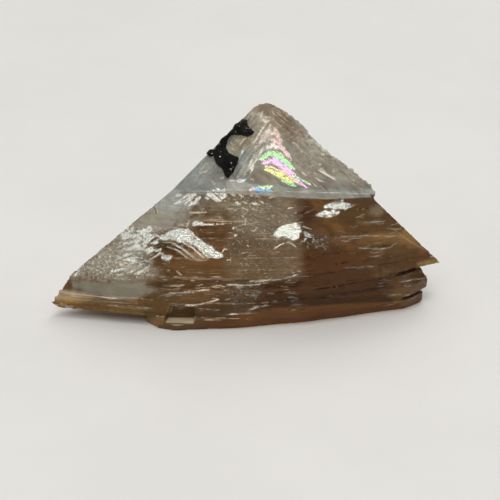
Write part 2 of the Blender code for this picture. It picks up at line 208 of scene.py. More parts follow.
class Surface:
    """Points of the skin with what the marks need to know about each of them, in millimetres."""

    FACING: ClassVar[Span] = (0.03, 0.25)
    CROWN: ClassVar[Span] = (18.05, 18.45)
    THINNED: ClassVar[float] = 0.3

    def __init__(self, points: Array, normals: Array, seed: int) -> None:
        """Works out each point's place on the front and the noises that the marks share.

        Args:
            points: n by 3.
            normals: n by 3, pointing out.
            seed: fixes the noise.
        """
        self.points = points
        self.normals = normals
        self.across, self.y, self.z = points.T
        self.up = self.z * math.cos(VIEW_TILT) + self.y * math.sin(VIEW_TILT)
        towards = -normals[:, 1] * math.cos(VIEW_TILT) + normals[:, 2] * math.sin(VIEW_TILT)
        self.facing = ramp(*self.FACING, towards)
        self.crown = ramp(*self.CROWN, self.z)
        self.noise = Noise(seed)
        self.wander = self.noise.layered(points + 50, (3.2, 3.2, 1.4), 3)
        self.fray = self.noise.at(points, 0.75) + 0.6 * self.noise.at(points, 0.3)

    def turned(self, degrees: float) -> Array:
        """Turns the front about the line of sight, so that its first axis runs at an angle.

        Args:
            degrees: the angle, from across towards up.

        Returns:
            n by 3: along the first axis, over it, and the thinned depth, through which noise is drawn out.
        """
        turn = math.radians(degrees)
        along = self.across * math.cos(turn) + self.up * math.sin(turn)
        over = self.up * math.cos(turn) - self.across * math.sin(turn)
        return np.column_stack((along, over, self.THINNED * self.y))

    def depth_inside(self, outline: Outline, margin: float = 2.0) -> Array:
        """Measures how deep each point is inside an outline on the front.

        Args:
            outline: the corners, in order.
            margin: how far outside is measured.

        Returns:
            The depth, negative outside and never under -margin.
        """
        corners = np.array(outline)
        low, high = corners.min(axis=0) - margin, corners.max(axis=0) + margin
        near = (self.across > low[0]) & (self.across < high[0]) & (self.up > low[1]) & (self.up < high[1])
        x, y = self.across[near], self.up[near]
        away = np.full(len(x), margin)
        inside = np.zeros(len(x), bool)
        for (ax, ay), (bx, by) in zip(corners, np.roll(corners, -1, axis=0)):
            reach = (x - ax) * (bx - ax) + (y - ay) * (by - ay)
            share = np.clip(reach / ((bx - ax) ** 2 + (by - ay) ** 2), 0, 1)
            away = np.minimum(away, np.hypot(x - ax - share * (bx - ax), y - ay - share * (by - ay)))
            if ay != by:
                inside ^= ((ay > y) != (by > y)) & (x < (bx - ax) * (y - ay) / (by - ay) + ax)
        depth = np.full(len(self.across), -margin)
        depth[near] = np.where(inside, away, -away)
        return depth

    def from_line(self, line: Outline) -> tuple[Array, Array]:
        """Measures each point against a bent line on the front.

        Args:
            line: the line's places, in order.

        Returns:
            The distance, and the share of the way along.
        """
        best = np.full(len(self.across), np.inf)
        along = np.zeros_like(best)
        lengths = [math.dist(a, b) for a, b in zip(line, line[1:])]
        done = 0.0
        for (ax, ay), (bx, by), length in zip(line, line[1:], lengths):
            dx, dy = self.across - ax, self.up - ay
            share = np.clip((dx * (bx - ax) + dy * (by - ay)) / length**2, 0, 1)
            away = np.hypot(dx - share * (bx - ax), dy - share * (by - ay))
            along = np.where(away < best, (done + share * length) / sum(lengths), along)
            best = np.minimum(best, away)
            done += length
        return best, along


@dataclass(frozen=True)
class Zone:
    """A part of one colour, outlined on the front. Soft ones go through the crystal, crisp ones don't.

    Its edge fades over `soft` and wanders by about `wander`, and `milk` is how milky it is.
    """

    CRISP: ClassVar[float] = 0.45
    BEHIND: ClassVar[float] = 0.55

    tone: Tone
    outline: Outline
    soft: float = 0.5
    strength: float = 1.0
    wander: float = 0.5
    milk: float = 0.0

    def share(self, surface: Surface) -> Array:
        """Works out how much of the zone's colour each point has.

        Args:
            surface: the points.

        Returns:
            The share, from 0 to 1.
        """
        depth = surface.depth_inside(self.outline, 1.5 * self.soft + 2 * self.wander)
        depth += self.wander * surface.wander + (0.3 * self.soft + 0.12 * self.wander) * surface.fray
        share = self.strength * ramp(-self.soft, self.soft, depth)
        behind = 0.0 if self.soft < self.CRISP else self.BEHIND
        return share * (behind + (1 - behind) * surface.facing)


@dataclass(frozen=True)
class Frost:
    """A part that is full of fine pale specks."""

    WANDER: ClassVar[float] = 0.8

    outline: Outline
    strength: float = 1.0
    soft: float = 0.8

    def share(self, surface: Surface) -> Array:
        """How thick the specks are at each point, from 0 to 1."""
        depth = surface.depth_inside(self.outline, self.soft + 1.0) + self.WANDER * surface.wander
        return self.strength * surface.facing * ramp(-self.soft, self.soft, depth)


@dataclass(frozen=True)
class Ledge:
    """The edge of a plate on the front: the skin stands proud below the line and eases back lower down.

    It stands out by `step`, is back after about `ease`, and has a painted highlight along its rim as bright
    as `shine`.
    """

    ENDS: ClassVar[Span] = (-0.1, 0.5)
    RISE: ClassVar[Span] = (-0.08, 0.05)
    RIM: ClassVar[Span] = (0.02, 0.1)
    FRAY: ClassVar[float] = 0.05
    FAINTEST: ClassVar[float] = 0.25

    line: Outline
    step: float = 0.14
    ease: float = 0.7
    shine: float = 0.8

    def height(self, surface: Surface) -> tuple[Array, Array]:
        """Works out the ledge's relief and the painted highlight along its rim.

        Args:
            surface: the points.

        Returns:
            How far each point moves out, and how much of the painted rim highlight it has.
        """
        places = np.array(self.line)
        top = np.interp(surface.across, places[:, 0], places[:, 1]) + self.FRAY * surface.fray
        starts = ramp(*self.ENDS, surface.across - places[0, 0])
        ends = starts * ramp(*self.ENDS, places[-1, 0] - surface.across)
        below = top - surface.up
        out = self.step * ramp(*self.RISE, below) * np.exp(-np.maximum(below, 0) / self.ease)
        gaps = np.clip(0.65 + 0.5 * surface.noise.at(surface.points + 9, 0.9), self.FAINTEST, 1.0)
        # Painted highlight: a thin bright line along the plate's edge, just below the ledge line.
        middle, width = self.RIM
        rim = np.exp(-(((below - middle) / width) ** 2)) * min(1.25 * self.shine, 1.0) * gaps
        return out * ends * surface.facing, rim * ends * surface.facing


@dataclass(frozen=True)
class Thread:
    """A thin bright line, which may turn back on itself: ribs of breaks and scratches, and painted glints
    along cleavage lines.
    """

    FRAY: ClassVar[float] = 0.03
    TIP: ClassVar[float] = 0.03

    line: Outline
    width: float = 0.1
    shine: float = 0.8
    step: float = 0.03

    def height(self, surface: Surface) -> tuple[Array, Array]:
        """Works out the line's relief and its brightness.

        Args:
            surface: the points.

        Returns:
            How far each point moves out, and how bright it is.
        """
        away, along = surface.from_line(self.line)
        taper = np.sqrt(np.sin(np.pi * np.clip(along, self.TIP, 1 - self.TIP)))
        bright = self.shine * np.exp(-(((away + self.FRAY * surface.fray) / (self.width * taper)) ** 2))
        return self.step * bright * surface.facing, bright * surface.facing


@dataclass(frozen=True)
class Scratches:
    """Short thin bright marks scattered between two corners, at the angle `lean` give or take `spread`."""

    LENGTHS: ClassVar[Span] = (0.25, 1.0)
    WIDTHS: ClassVar[Span] = (0.06, 0.1)
    SHINES: ClassVar[Span] = (0.2, 0.7)
    BEND: ClassVar[float] = 0.08
    STEP: ClassVar[float] = 0.01

    low: Place
    high: Place
    count: int
    lean: float = 0.0
    spread: float = 20.0
    longest: float = 1.6

    def threads(self, dice: np.random.Generator) -> list[Thread]:
        """Draws the marks.

        Args:
            dice: the random numbers.

        Returns:
            A bent line for each mark.
        """
        made = []
        for _ in range(self.count):
            x, y = dice.uniform(self.low, self.high)
            length = dice.uniform(*self.LENGTHS) * self.longest
            angle = math.radians(dice.normal(self.lean, self.spread))
            bend = dice.normal(0, self.BEND) * length
            dx, dy = length * math.cos(angle), length * math.sin(angle)
            middle = (x + dx / 2 - bend * math.sin(angle), y + dy / 2 + bend * math.cos(angle))
            width = dice.uniform(*self.WIDTHS)
            shine = dice.uniform(*self.SHINES)
            made.append(Thread(((x, y), middle, (x + dx, y + dy)), width, shine, self.STEP))
        return made


@dataclass(frozen=True)
class Foil:
    """A bright break just under the skin, outlined on the front.

    Its edge is frayed by `ragged`, and its streaks run at the angle `run`. Unless `torn` is 0, it is left
    only where drawn-out noise is above `torn`.
    """

    EDGE: ClassVar[Span] = (-0.06, 0.1)
    SHREDS: ClassVar[Triple] = (1.3, 0.36, 1.5)
    STREAKS: ClassVar[Triple] = (1.8, 0.26, 2)
    CRUMPLES: ClassVar[Triple] = (0.5, 0.5, 0.3)
    CRUMPLE: ClassVar[float] = 0.05
    FAINTEST: ClassVar[float] = 0.25

    outline: Outline
    shine: float = 1.0
    ragged: float = 0.16
    torn: float = 0.0
    run: float = -38.0

    def height(self, surface: Surface) -> tuple[Array, Array]:
        """Works out the break's relief and its brightness.

        Args:
            surface: the points.

        Returns:
            How far each point moves out, and how bright it is.
        """
        noise, turned = surface.noise, surface.turned(self.run)
        depth = surface.depth_inside(self.outline) + self.ragged * surface.fray
        bright = self.shine * ramp(*self.EDGE, depth)
        if self.torn:
            bright = bright * ramp(self.torn - 0.2, self.torn + 0.1, noise.at(turned + 3, self.SHREDS))
        bright = bright * np.clip(1.2 + 1.4 * noise.at(turned, self.STREAKS), self.FAINTEST, 1.0)
        crumple = self.CRUMPLE * noise.at(surface.points, self.CRUMPLES)
        return crumple * bright * surface.facing, bright * surface.facing


@dataclass(frozen=True)
class Gleam:
    """One colour of the rainbow break, along a bent line on the crown."""

    EDGE: ClassVar[Span] = (1.35, 0.5)

    line: Outline
    colour: tuple[int, int, int]
    width: float = 0.3
    strength: float = 1.0

    def share(self, surface: Surface, fringe: Array) -> Array:
        """How much of the colour each point has.

        Args:
            surface: the points.
            fringe: the saw-toothed fraying of the bands.

        Returns:
            The share, from 0 to 1.
        """
        away, along = surface.from_line(self.line)
        width = self.width * (0.35 + 0.65 * np.sin(np.pi * np.clip(0.15 + 0.75 * along, 0, 1)))
        return self.strength * ramp(*self.EDGE, away / width + fringe) * surface.facing


# The smooth grey band at the left, which has few plates, lines and specks.
SLATE_BAND = Zone(
    Tone.SLATE,
    ((-26.0, 2.8), (-20.5, 3.0), (-15.1, 2.9), (-12.6, 1.7), (-15.7, 0.3), (-17.8, 0.2),
     (-22.5, 1.1), (-25.2, 1.8)), 0.6, 0.9, 0.4, 0.4,
)

# The colours of the body, the lowest layer first, with painted shade and painted glow among them.
ZONES = (
    Zone(Tone.UMBER, ((6.8, 17), (6.9, 12.3), (7.1, 10.9), (7.6, 8.8), (7.7, 5.5), (6.0, 3.4), (1.0, 2.6),
        (-1.5, 0.2), (2.0, -1.2), (30, 0), (30, 17)), 0.7, wander=0.5),
    Zone(Tone.CHESTNUT, ((9.5, 14.7), (17.5, 14.8), (28.5, 5.0), (24.5, 5.2), (19, 6.0), (14, 7.5),
        (10.5, 9.8)), 1.6, 0.9, 0.8),
    Zone(Tone.OLIVE, ((-6.5, 15.6), (-2.5, 15.4), (6.8, 15), (7.1, 9.5), (6.5, 7.5), (1.5, 8), (-1.5, 10.5),
        (-3.0, 12.8), (-6.5, 13.2)), 1.2, wander=1.0),
    Zone(Tone.FAWN, ((-2, 9.5), (7.5, 8.5), (7.7, 4.2), (2, 3.1), (-2.5, 3.3), (-3.4, 6)), 1.0, wander=0.6),
    Zone(Tone.GREY, ((-27, 3.2), (-17, 11.5), (-12, 15.2), (-8.0, 13.2), (-8.4, 10.6), (-13, 9.2),
        (-14.2, 6.4), (-13.2, 4.0), (-14.0, 2.6), (-26.3, 2.7)), 2.0, wander=1.6, milk=0.35),
    Zone(Tone.STONE, ((-16.1, 10.6), (-13.0, 12.7), (-10.5, 13.0), (-6.9, 12.7), (-9.6, 11.9), (-7.4, 11.1),
        (-10.2, 10.4), (-13.3, 9.9)), 0.9, 0.9, 1.0, 0.4),
    Zone(Tone.MIST, ((-14.0, 13.2), (-12.4, 15.0), (-10.2, 16.2), (-5.4, 15.3), (-7.8, 14.7), (-6.0, 13.9),
        (-8.4, 13.1), (-10.7, 12.9), (-13.0, 13.0)), 0.8, 0.95, 0.9, 0.4),
    SLATE_BAND,
    Zone(Tone.PLATE, ((-28, 1.3), (-25.0, 1.75), (-22.2, 1.1), (-18, 0.25), (-15.5, 0.3), (-12.9, 1.3),
        (-9, 1.2), (-11, -1.2), (-14, -1.8), (-28, -0.6)), 0.14, wander=0.12),
    # Painted glow of light through the thin left tip: honey, with a cream edge at its point.
    Zone(Tone.HONEY, ((-28, 1.3), (-25.4, 1.6), (-21.5, 0.7), (-23.5, -0.1), (-28, -0.4)), 0.5, 0.85, 0.3),
    Zone(Tone.CREAM, ((-28, 1.4), (-25.6, 1.75), (-22.0, 1.05), (-24.6, 0.5), (-28, -0.2)), 0.3, 0.75, 0.2,
        0.4),
    Zone(Tone.BROWN, ((-26.8, 3.1), (-24.9, 3.3), (-24.5, 1.9), (-26.6, 1.6)), 0.15, 0.9, 0.15),
    # Painted shade between the ribs of the break.
    Zone(Tone.SHADE, ((-11.8, 8.3), (-9.6, 8.3), (-6.2, 6.4), (-6.6, 6.0), (-9.3, 6.0), (-10.7, 6.8),
        (-12.0, 7.8)), 0.25, 0.8, 0.3),
    Zone(Tone.GOLD, ((-7.9, 12.0), (-3.4, 12.1), (-3.0, 11.2), (-5.9, 11.3), (-7.5, 11.5)), 0.3, 0.5),
    Zone(Tone.SLAB, ((8.6, 4.2), (16, 4.9), (24.6, 4.9), (27, 3), (25.2, 0.4), (20, -0.2), (8, -0.7),
        (3.4, -0.6), (3.6, 1.4), (7.6, 2.6)), 0.6, 0.85, 0.5),
    # Painted shade low on the front of the body.
    Zone(Tone.SHADE, ((-3.3, 1.0), (-1.1, 3.0), (2.1, 2.1), (1.9, 0.7), (-1.1, -1.6), (-11.0, -1.6),
        (-10.6, -0.8), (-5.0, -0.3)), 0.5, 0.7, 0.5),
    Zone(Tone.BEVEL, ((-3.6, -2.3), (0.0, -1.9), (2.1, -1.1), (4.3, -0.8), (7.9, -0.6), (13.3, -0.3),
        (24, 0.2), (24, -6), (-10, -6)), 0.14, wander=0.1),
    # Painted glow of light through the thin edge of the right wing, in amber and honey.
    Zone(Tone.AMBER, ((17.2, 9.5), (21.1, 9.8), (23.5, 10.0), (24.6, 7.8), (22.3, 8.4), (20.8, 8.5),
        (17.8, 8.7)), 0.7, 0.85, 0.4),
    Zone(Tone.AMBER, ((15.6, 9.2), (20.6, 9.2), (19.8, 8.2), (15.6, 8.0)), 0.4, 0.45, 0.3),
    Zone(Tone.HONEY, ((21.4, 10.4), (23.0, 10.5), (24.2, 9.3), (23.3, 8.9), (22.0, 9.3)), 0.6, 0.6, 0.3),
    Zone(Tone.GOLD, ((17.4, 13.5), (18.9, 13.5), (19.4, 12.5), (18.2, 12.0), (17.4, 12.4)), 0.4, 0.6, 0.3,
        0.3),
    # Painted glow along the lower rim of the right wing's tip.
    Zone(Tone.HONEY, ((24.2, 5.5), (25.6, 5.9), (28, 6.4), (28, 5.0), (24.3, 5.0)), 0.25, 0.7, 0.2),
    Zone(Tone.RUST, ((24.9, 7.3), (25.4, 7.4), (25.5, 7.0), (24.9, 6.9)), 0.3, 0.8, 0.2),
    # Painted shade under the right wing, above the slab.
    Zone(Tone.SHADE, ((17.0, 4.95), (24.3, 4.95), (24.6, 4.4), (22.3, 4.35), (17.8, 4.4)), 0.25, 0.7, 0.3),
    Zone(Tone.PLATE, ((20.0, 1.0), (22.0, 1.0), (23.7, 0.7), (24.5, -0.2), (21.0, -0.3)), 0.4, 0.8),
    Zone(Tone.PLATE, ((17.6, 3.9), (19.9, 4.2), (19.9, 3.1), (18.0, 3.3)), 0.4, 0.6),
    Zone(Tone.CHESTNUT, ((19.6, 4.4), (24.4, 4.5), (26.5, 2.5), (25.5, 0.4), (21.0, 0.9)), 0.7, 0.6, 0.5),
    Zone(Tone.AMBER, ((-14.2, -2.2), (-12.6, -2.1), (-11.6, -2.3), (-11.4, -3.0), (-12.6, -3.2),
        (-14.2, -3.0)), 0.3, 0.6, 0.2),
    # Painted light: the sill in the notch is painted pale cream and milky, so that it shows bright in the
    # notch's shade.
    Zone(Tone.CREAM, ((-11.5, -2.9), (-11.0, -2.2), (-7.3, -2.3), (-7.4, -3.0)), 0.08, 0.9, 0.04, 0.9),
)

# The colours of the crown, the lowest layer first.
CROWN_ZONES = (
    Zone(Tone.ICE, ((-14, 14), (-6, 24), (-2.4, 24), (1.4, 20.5), (0.2, 17.6), (7, 16.4), (20, 16),
        (20, 14)), 0.7, milk=0.35),
    Zone(Tone.TAUPE, ((0.2, 29), (8, 29), (8.5, 24.5), (6.2, 22.5), (4.2, 24.5), (2.2, 25.8)), 0.9, 0.9, 0.7,
        0.2),
    Zone(Tone.CREAM, ((-2.4, 22.1), (-1.6, 23.2), (0.5, 23.6), (0.9, 23.0), (0.2, 22.0), (-1.4, 20.7),
        (-2.4, 21)), 0.25, 0.75, 0.3, 0.4),
    Zone(Tone.TAUPE, ((3.9, 27.3), (6.2, 27.0), (7.0, 26.0), (5.5, 25.7), (4.2, 26.1)), 0.4, 0.9),
    Zone(Tone.MIST, ((-1.4, 17.2), (0.4, 17.6), (2.4, 20.8), (3.5, 23.4), (3.3, 25.2), (1.6, 23.6),
        (0.8, 21.6), (-0.6, 19.6)), 0.6, 0.55, 0.4, 0.5),
    Zone(Tone.CREAM, ((-1.2, 17.7), (0.2, 17.9), (1.6, 20.2), (3.0, 23.0), (3.8, 25.6), (2.6, 26.2),
        (1.1, 23.4), (1.1, 21.4), (0.2, 19.8)), 0.5, 0.5, 0.4, 0.6),
    Zone(Tone.MIST, ((4.3, 28.8), (8.6, 25.2), (10.9, 22.6), (14.2, 20.2), (20, 17.2), (19.6, 16.2),
        (13.6, 19.2), (10.0, 21.5), (7.7, 24.2), (4.2, 27.9)), 0.5, 0.65, 0.4, 0.5),
    Zone(Tone.GLASS, ((0.2, 17.7), (1.6, 18.8), (3.0, 17.9), (4.0, 17.4), (2.3, 16.4), (1.2, 16.6)), 0.4,
        0.7),
    Zone(Tone.SHELF, ((-3.0, 17.2), (0.5, 16.6), (4.3, 16.2), (7.7, 15.9), (11.2, 15.8), (20, 15.9),
        (20, 14), (-3.0, 14)), 0.3, 0.9, 0.3, 0.5),
)

FROSTS = (
    Frost(((-1.2, 17.7), (0.2, 17.9), (1.6, 20.2), (3.0, 23.0), (4.0, 26.0), (2.6, 26.6), (0.9, 23.4),
        (0.3, 20.0)), 0.5, 0.4),
    Frost(((-26, 3.2), (-17, 11.3), (-13, 10.0), (-13.6, 6.2), (-12.6, 4.2), (-14, 3.2)), 0.9),
    Frost(((9.0, 9.6), (10.3, 10.1), (11.2, 9.3), (12.2, 7.8), (12.0, 7.0), (9.7, 7.5), (8.6, 8.3)), 0.4,
        0.4),
    Frost(((-3.0, 15.0), (3.5, 14.6), (4.5, 12.8), (-1, 12.6), (-3.5, 13.6)), 0.55),
    Frost(((-13.0, 14.6), (-6.6, 15.4), (-7.5, 13.2), (-12.8, 13.2)), 0.5),
    Frost(((-13.2, 10.2), (-8.3, 11.0), (-2.6, 6.4), (-9.0, 8.0), (-13, 8.8)), 0.5, 0.4),
    Frost(((19.4, 4.7), (23.6, 4.4), (24.4, 1.2), (23.0, 0.6), (19.5, 1.2)), 0.2, 0.5),
    Frost(((-2.0, 3.0), (2.3, 3.0), (2.0, 0.4), (-1.5, -1.2), (-3.2, 1.0)), 0.5),
    Frost(((-6.0, 14.5), (7.4, 14.2), (7.8, 4.0), (-2.0, 3.0), (-3.0, 8.0), (-2.2, 12.5)), 0.32, 1.2),
)

LEDGES = (
    Ledge(((-12.5, 0.9), (-10.5, 1.3), (-8.3, 1.5), (-4.9, 1.8)), 0.09, shine=0.95),
    Ledge(((-12.0, 2.4), (-10.5, 2.3), (-8.5, 2.4)), 0.03, shine=0.4),
    Ledge(((-10.4, -0.6), (-7.8, -0.4), (-6.2, -0.2), (-3.6, 0.5)), 0.08, shine=0.9),
    Ledge(((-2.9, 2.5), (-0.8, 2.4), (2.1, 2.5)), 0.05, shine=0.7),
    Ledge(((0.3, 3.0), (1.9, 3.0), (4.3, 3.2), (6.1, 3.5), (7.3, 4.0)), 0.06, shine=0.75),
    Ledge(((0.1, -1.1), (1.6, -0.7), (3.1, -0.3)), 0.05, shine=0.8),
    Ledge(((-3.3, -1.7), (-1.1, -1.6), (1.6, -1.5)), 0.05, shine=0.7),
    Ledge(((-25.2, 0.9), (-22.0, 0.6), (-18.0, 0.35)), 0.03, shine=0.55),
    Ledge(((-24.5, 0.2), (-20.0, -0.2), (-15.0, -0.6)), 0.04, shine=0.2),
    Ledge(((15.4, 11.7), (16.3, 11.2), (18.0, 11.3), (19.7, 11.5)), 0.03, shine=0.8),
    Ledge(((12.1, 8.7), (12.7, 9.2), (14.8, 9.3), (16.8, 9.4), (21.1, 9.3)), 0.03, shine=0.95),
    Ledge(((13.0, 8.6), (14.1, 8.6), (14.9, 9.1)), 0.03, shine=0.8),
    Ledge(((15.5, 7.7), (18.8, 7.5), (20.2, 7.7), (20.8, 8.1), (21.5, 8.5)), 0.035, shine=0.95),
    Ledge(((17.1, 6.5), (18.2, 6.5), (19.3, 6.6)), 0.03, shine=1.0),
    Ledge(((17.2, 7.0), (18.4, 7.0), (19.5, 7.2)), 0.02, shine=0.6),
    Ledge(((13.7, 4.9), (15.4, 4.9), (16.5, 5.0), (18.8, 5.1)), 0.02, shine=0.5),
    Ledge(((21.1, 3.5), (22.3, 3.6), (22.9, 3.7)), 0.05, shine=0.3),
    Ledge(((21.5, 2.8), (22.8, 3.0), (24.1, 3.2), (25.4, 3.3)), 0.06, shine=0.9),
    Ledge(((20.0, 1.0), (22.0, 1.05), (24.2, 1.0)), 0.06, shine=0.6),
    Ledge(((-8.2, 12.6), (-6.6, 12.6), (-5.2, 12.7)), 0.03, shine=0.6),
)

# Thin bright lines: ribs of breaks, and painted glints along cleavage lines and at the right wing's tip.
THREADS = (
    Thread(((-12.0, 8.4), (-10.6, 8.4), (-9.6, 8.1)), 0.1, 0.6),
    Thread(((-18.0, 7.2), (-16.7, 7.4), (-15.8, 8.0), (-15.3, 8.5), (-14.9, 7.5), (-14.0, 7.4), (-13.0, 7.3),
        (-12.1, 7.0)), 0.14, 1.0),
    Thread(((7.5, 10.8), (8.6, 10.4), (9.4, 10.2)), 0.1, 0.8),
    Thread(((3.9, 7.5), (4.6, 8.0), (5.5, 8.4)), 0.1, 0.8),
    Thread(((5.5, 8.5), (6.6, 8.1), (7.2, 7.4)), 0.09, 0.6),
    Thread(((3.9, 6.9), (4.5, 7.1), (5.0, 7.2)), 0.08, 0.4),
    Thread(((8.0, 12.4), (9.2, 12.9), (10.0, 13.4)), 0.12, 0.3),
    Thread(((9.9, 18.6), (10.9, 18.1), (12.6, 17.1)), 0.1, 0.8),
    Thread(((-1.9, 10.4), (-1.7, 10.45)), 0.16, 0.9),
    Thread(((-1.7, 9.3), (-1.4, 9.5)), 0.2, 0.8),
    Thread(((-2.8, 5.9), (-2.2, 6.05)), 0.1, 0.7),
    Thread(((-3.5, 6.9), (-3.1, 7.5), (-2.7, 7.4)), 0.09, 0.7),
    Thread(((0.5, 1.0), (1.7, 1.0)), 0.11, 0.6),
    Thread(((-10.9, -1.7), (-10.4, -0.7)), 0.12, 0.4),
    Thread(((26.1, 6.35), (26.9, 6.55)), 0.12, 0.8),
    Thread(((-26.8, 1.5), (-24.0, 1.1), (-21.0, 0.8), (-17.5, 0.45)), 0.1, 0.75),
    Thread(((-27.0, 0.8), (-23.0, 0.3), (-19.0, 0.0), (-15.2, -0.2)), 0.08, 0.45),
    Thread(((20.6, 10.4), (22.6, 8.9), (24.6, 7.7), (26.8, 6.6)), 0.1, 0.35),
    Thread(((15.4, 4.8), (16.5, 4.8)), 0.12, 0.35),
    Thread(((-2.5, 17.05), (-1.6, 17.1)), 0.12, 0.9),
)

SCRATCHES = (
    Scratches((-2.0, 7.8), (7.0, 14.8), 24, -12, 40, 1.3),
    Scratches((7.0, 16.8), (14.0, 21.5), 6, -38, 14, 1.4),
    Scratches((-12.0, -0.8), (6.5, 3.4), 30, 5, 12, 1.8),
    Scratches((11.0, 7.2), (21.0, 12.6), 16, 3, 6, 2.2),
    Scratches((-20.0, 4.2), (-8.0, 12.6), 34, 15, 45, 1.2),
    Scratches((-9.5, 16.6), (-3.5, 19.5), 9, 50, 22, 1.3),
    Scratches((8.4, 7.4), (11.4, 9.9), 56, -30, 40, 0.6),
    Scratches((-20.0, 3.4), (-13.6, 6.4), 24, 8, 30, 0.9),
)

FOILS = (
    Foil(((-9.0, 8.3), (-7.6, 7.55), (-6.1, 6.2), (-5.8, 6.25), (-7.5, 7.8), (-8.8, 8.5)), 1.0, 0.04),
    Foil(((-10.4, 8.15), (-9.0, 7.4), (-7.4, 6.15), (-7.15, 6.2), (-8.9, 7.6), (-10.2, 8.3)), 0.9, 0.05),
    Foil(((-11.2, 7.75), (-9.7, 7.2), (-8.3, 6.15), (-8.05, 6.2), (-9.6, 7.4), (-11.1, 7.9)), 0.8, 0.05),
    Foil(((-13.4, 9.7), (-12.1, 9.3), (-10.2, 10.2), (-8.3, 10.4), (-7.3, 9.5), (-5.9, 8.3), (-4.7, 7.6),
        (-3.2, 6.5), (-3.8, 6.2), (-5.5, 6.2), (-6.2, 6.9), (-7.3, 7.9), (-8.4, 8.5), (-9.4, 8.4),
        (-10.7, 8.8), (-12.0, 8.8))),
    Foil(((-16.3, 7.6), (-15.2, 8.9), (-14.2, 8.1), (-14.4, 7.5)), 1.0, 0.25, -0.2),
    Foil(((-12.2, 7.1), (-11.3, 6.7), (-10.1, 6.6), (-10.9, 5.8), (-12.1, 6.1), (-11.8, 6.6)), 1.0, 0.1,
        run=0),
    Foil(((-17.5, 6.0), (-16.5, 6.3), (-15.8, 6.4), (-14.9, 6.3), (-15.5, 5.7), (-17.0, 5.8)), 1.0, 0.15,
        run=0),
    Foil(((-18.4, 6.1), (-17.8, 6.35), (-17.3, 6.3), (-17.8, 6.05)), 0.9, 0.1),
    Foil(((-15.4, 10.1), (-14.2, 10.2), (-12.7, 9.4), (-14.0, 8.3), (-15.6, 8.8)), 1.0, 0.25, -0.05),
    Foil(((-18.4, 9.4), (-17.2, 11.0), (-16.0, 10.6), (-16.6, 8.6)), 0.9, 0.3, 0.1),
    Foil(((-7.6, 11.2), (-6.9, 11.5), (-6.0, 11.1), (-4.5, 11.0), (-4.5, 10.8), (-6.2, 10.8), (-7.5, 10.8)),
        1.0, 0.07, run=0),
    Foil(((-4.3, 11.0), (-3.0, 11.05), (-3.2, 10.85), (-4.2, 10.85)), 0.8, 0.05),
    Foil(((-5.8, 14.5), (-5.2, 15.9), (-3.0, 15.9), (-2.5, 14.9), (-3.7, 14.2)), 1.0, 0.3, -0.2),
    Foil(((3.7, 9.3), (4.3, 10.3), (5.3, 10.9), (6.8, 11.2), (7.5, 10.8), (7.7, 9.9), (7.3, 8.9), (6.6, 8.7),
        (5.9, 9.0), (5.0, 9.2), (4.5, 9.0)), 1.0, 0.1, run=20),
    Foil(((7.9, 10.1), (8.9, 9.8), (9.0, 9.0), (8.3, 8.5), (7.8, 8.5), (8.2, 9.3)), 0.9, 0.3, -0.2),
    Foil(((10.6, 13.4), (11.6, 14.0), (13.4, 14.25), (14.6, 13.9), (14.9, 13.2), (13.4, 13.0), (11.7, 13.0)),
        1.0, 0.25, -0.5, 3),
    Foil(((14.2, 13.75), (16.8, 13.7), (16.5, 13.45), (14.6, 13.2)), 0.6, 0.12, -0.05, 0),
    Foil(((9.6, 12.1), (10.5, 12.8), (12.0, 13.1), (13.2, 12.9), (13.1, 12.3), (11.7, 11.95), (10.0, 12.0)),
        1.0, 0.25, -0.5, 3),
    Foil(((-17.2, 6.4), (-17.6, 9.6), (-14.0, 11.2), (-12.6, 9.4), (-11.6, 8.0), (-12.2, 6.4)), 0.8, 0.3,
        0.12, 20),
    Foil(((-20.0, 4.0), (-17.6, 6.0), (-13.6, 6.0), (-13.4, 4.2), (-16.0, 3.6)), 0.6, 0.3, 0.22, 15),
    Foil(((-11.0, 13.4), (-10.0, 15.2), (-6.2, 15.4), (-7.0, 13.6)), 0.6, 0.3, 0.22, 30),
    Foil(((-2.6, 14.6), (-2.0, 15.2), (1.6, 15.0), (3.2, 13.6), (1.0, 13.2), (-1.6, 13.8)), 0.55, 0.3, 0.22,
        -30),
    Foil(((-0.4, 18.2), (1.0, 20.6), (2.4, 23.2), (3.3, 25.0), (3.2, 23.4), (2.0, 20.6), (0.6, 18.0)), 0.45,
        0.2, 0.1, 56),
    Foil(((-24.8, 3.7), (-24.0, 4.5), (-22.6, 5.4), (-23.4, 4.2), (-24.2, 3.6)), 0.8, 0.2, 0.05, 35),
    Foil(((-1.6, 16.9), (-0.9, 17.4), (0.1, 17.3), (-0.5, 16.8)), 0.8, 0.15, run=20),
    Foil(((1.1, 26.0), (1.6, 26.8), (3.0, 27.0), (3.4, 25.6), (2.4, 25.0)), 0.4, 0.3, 0.15),
)

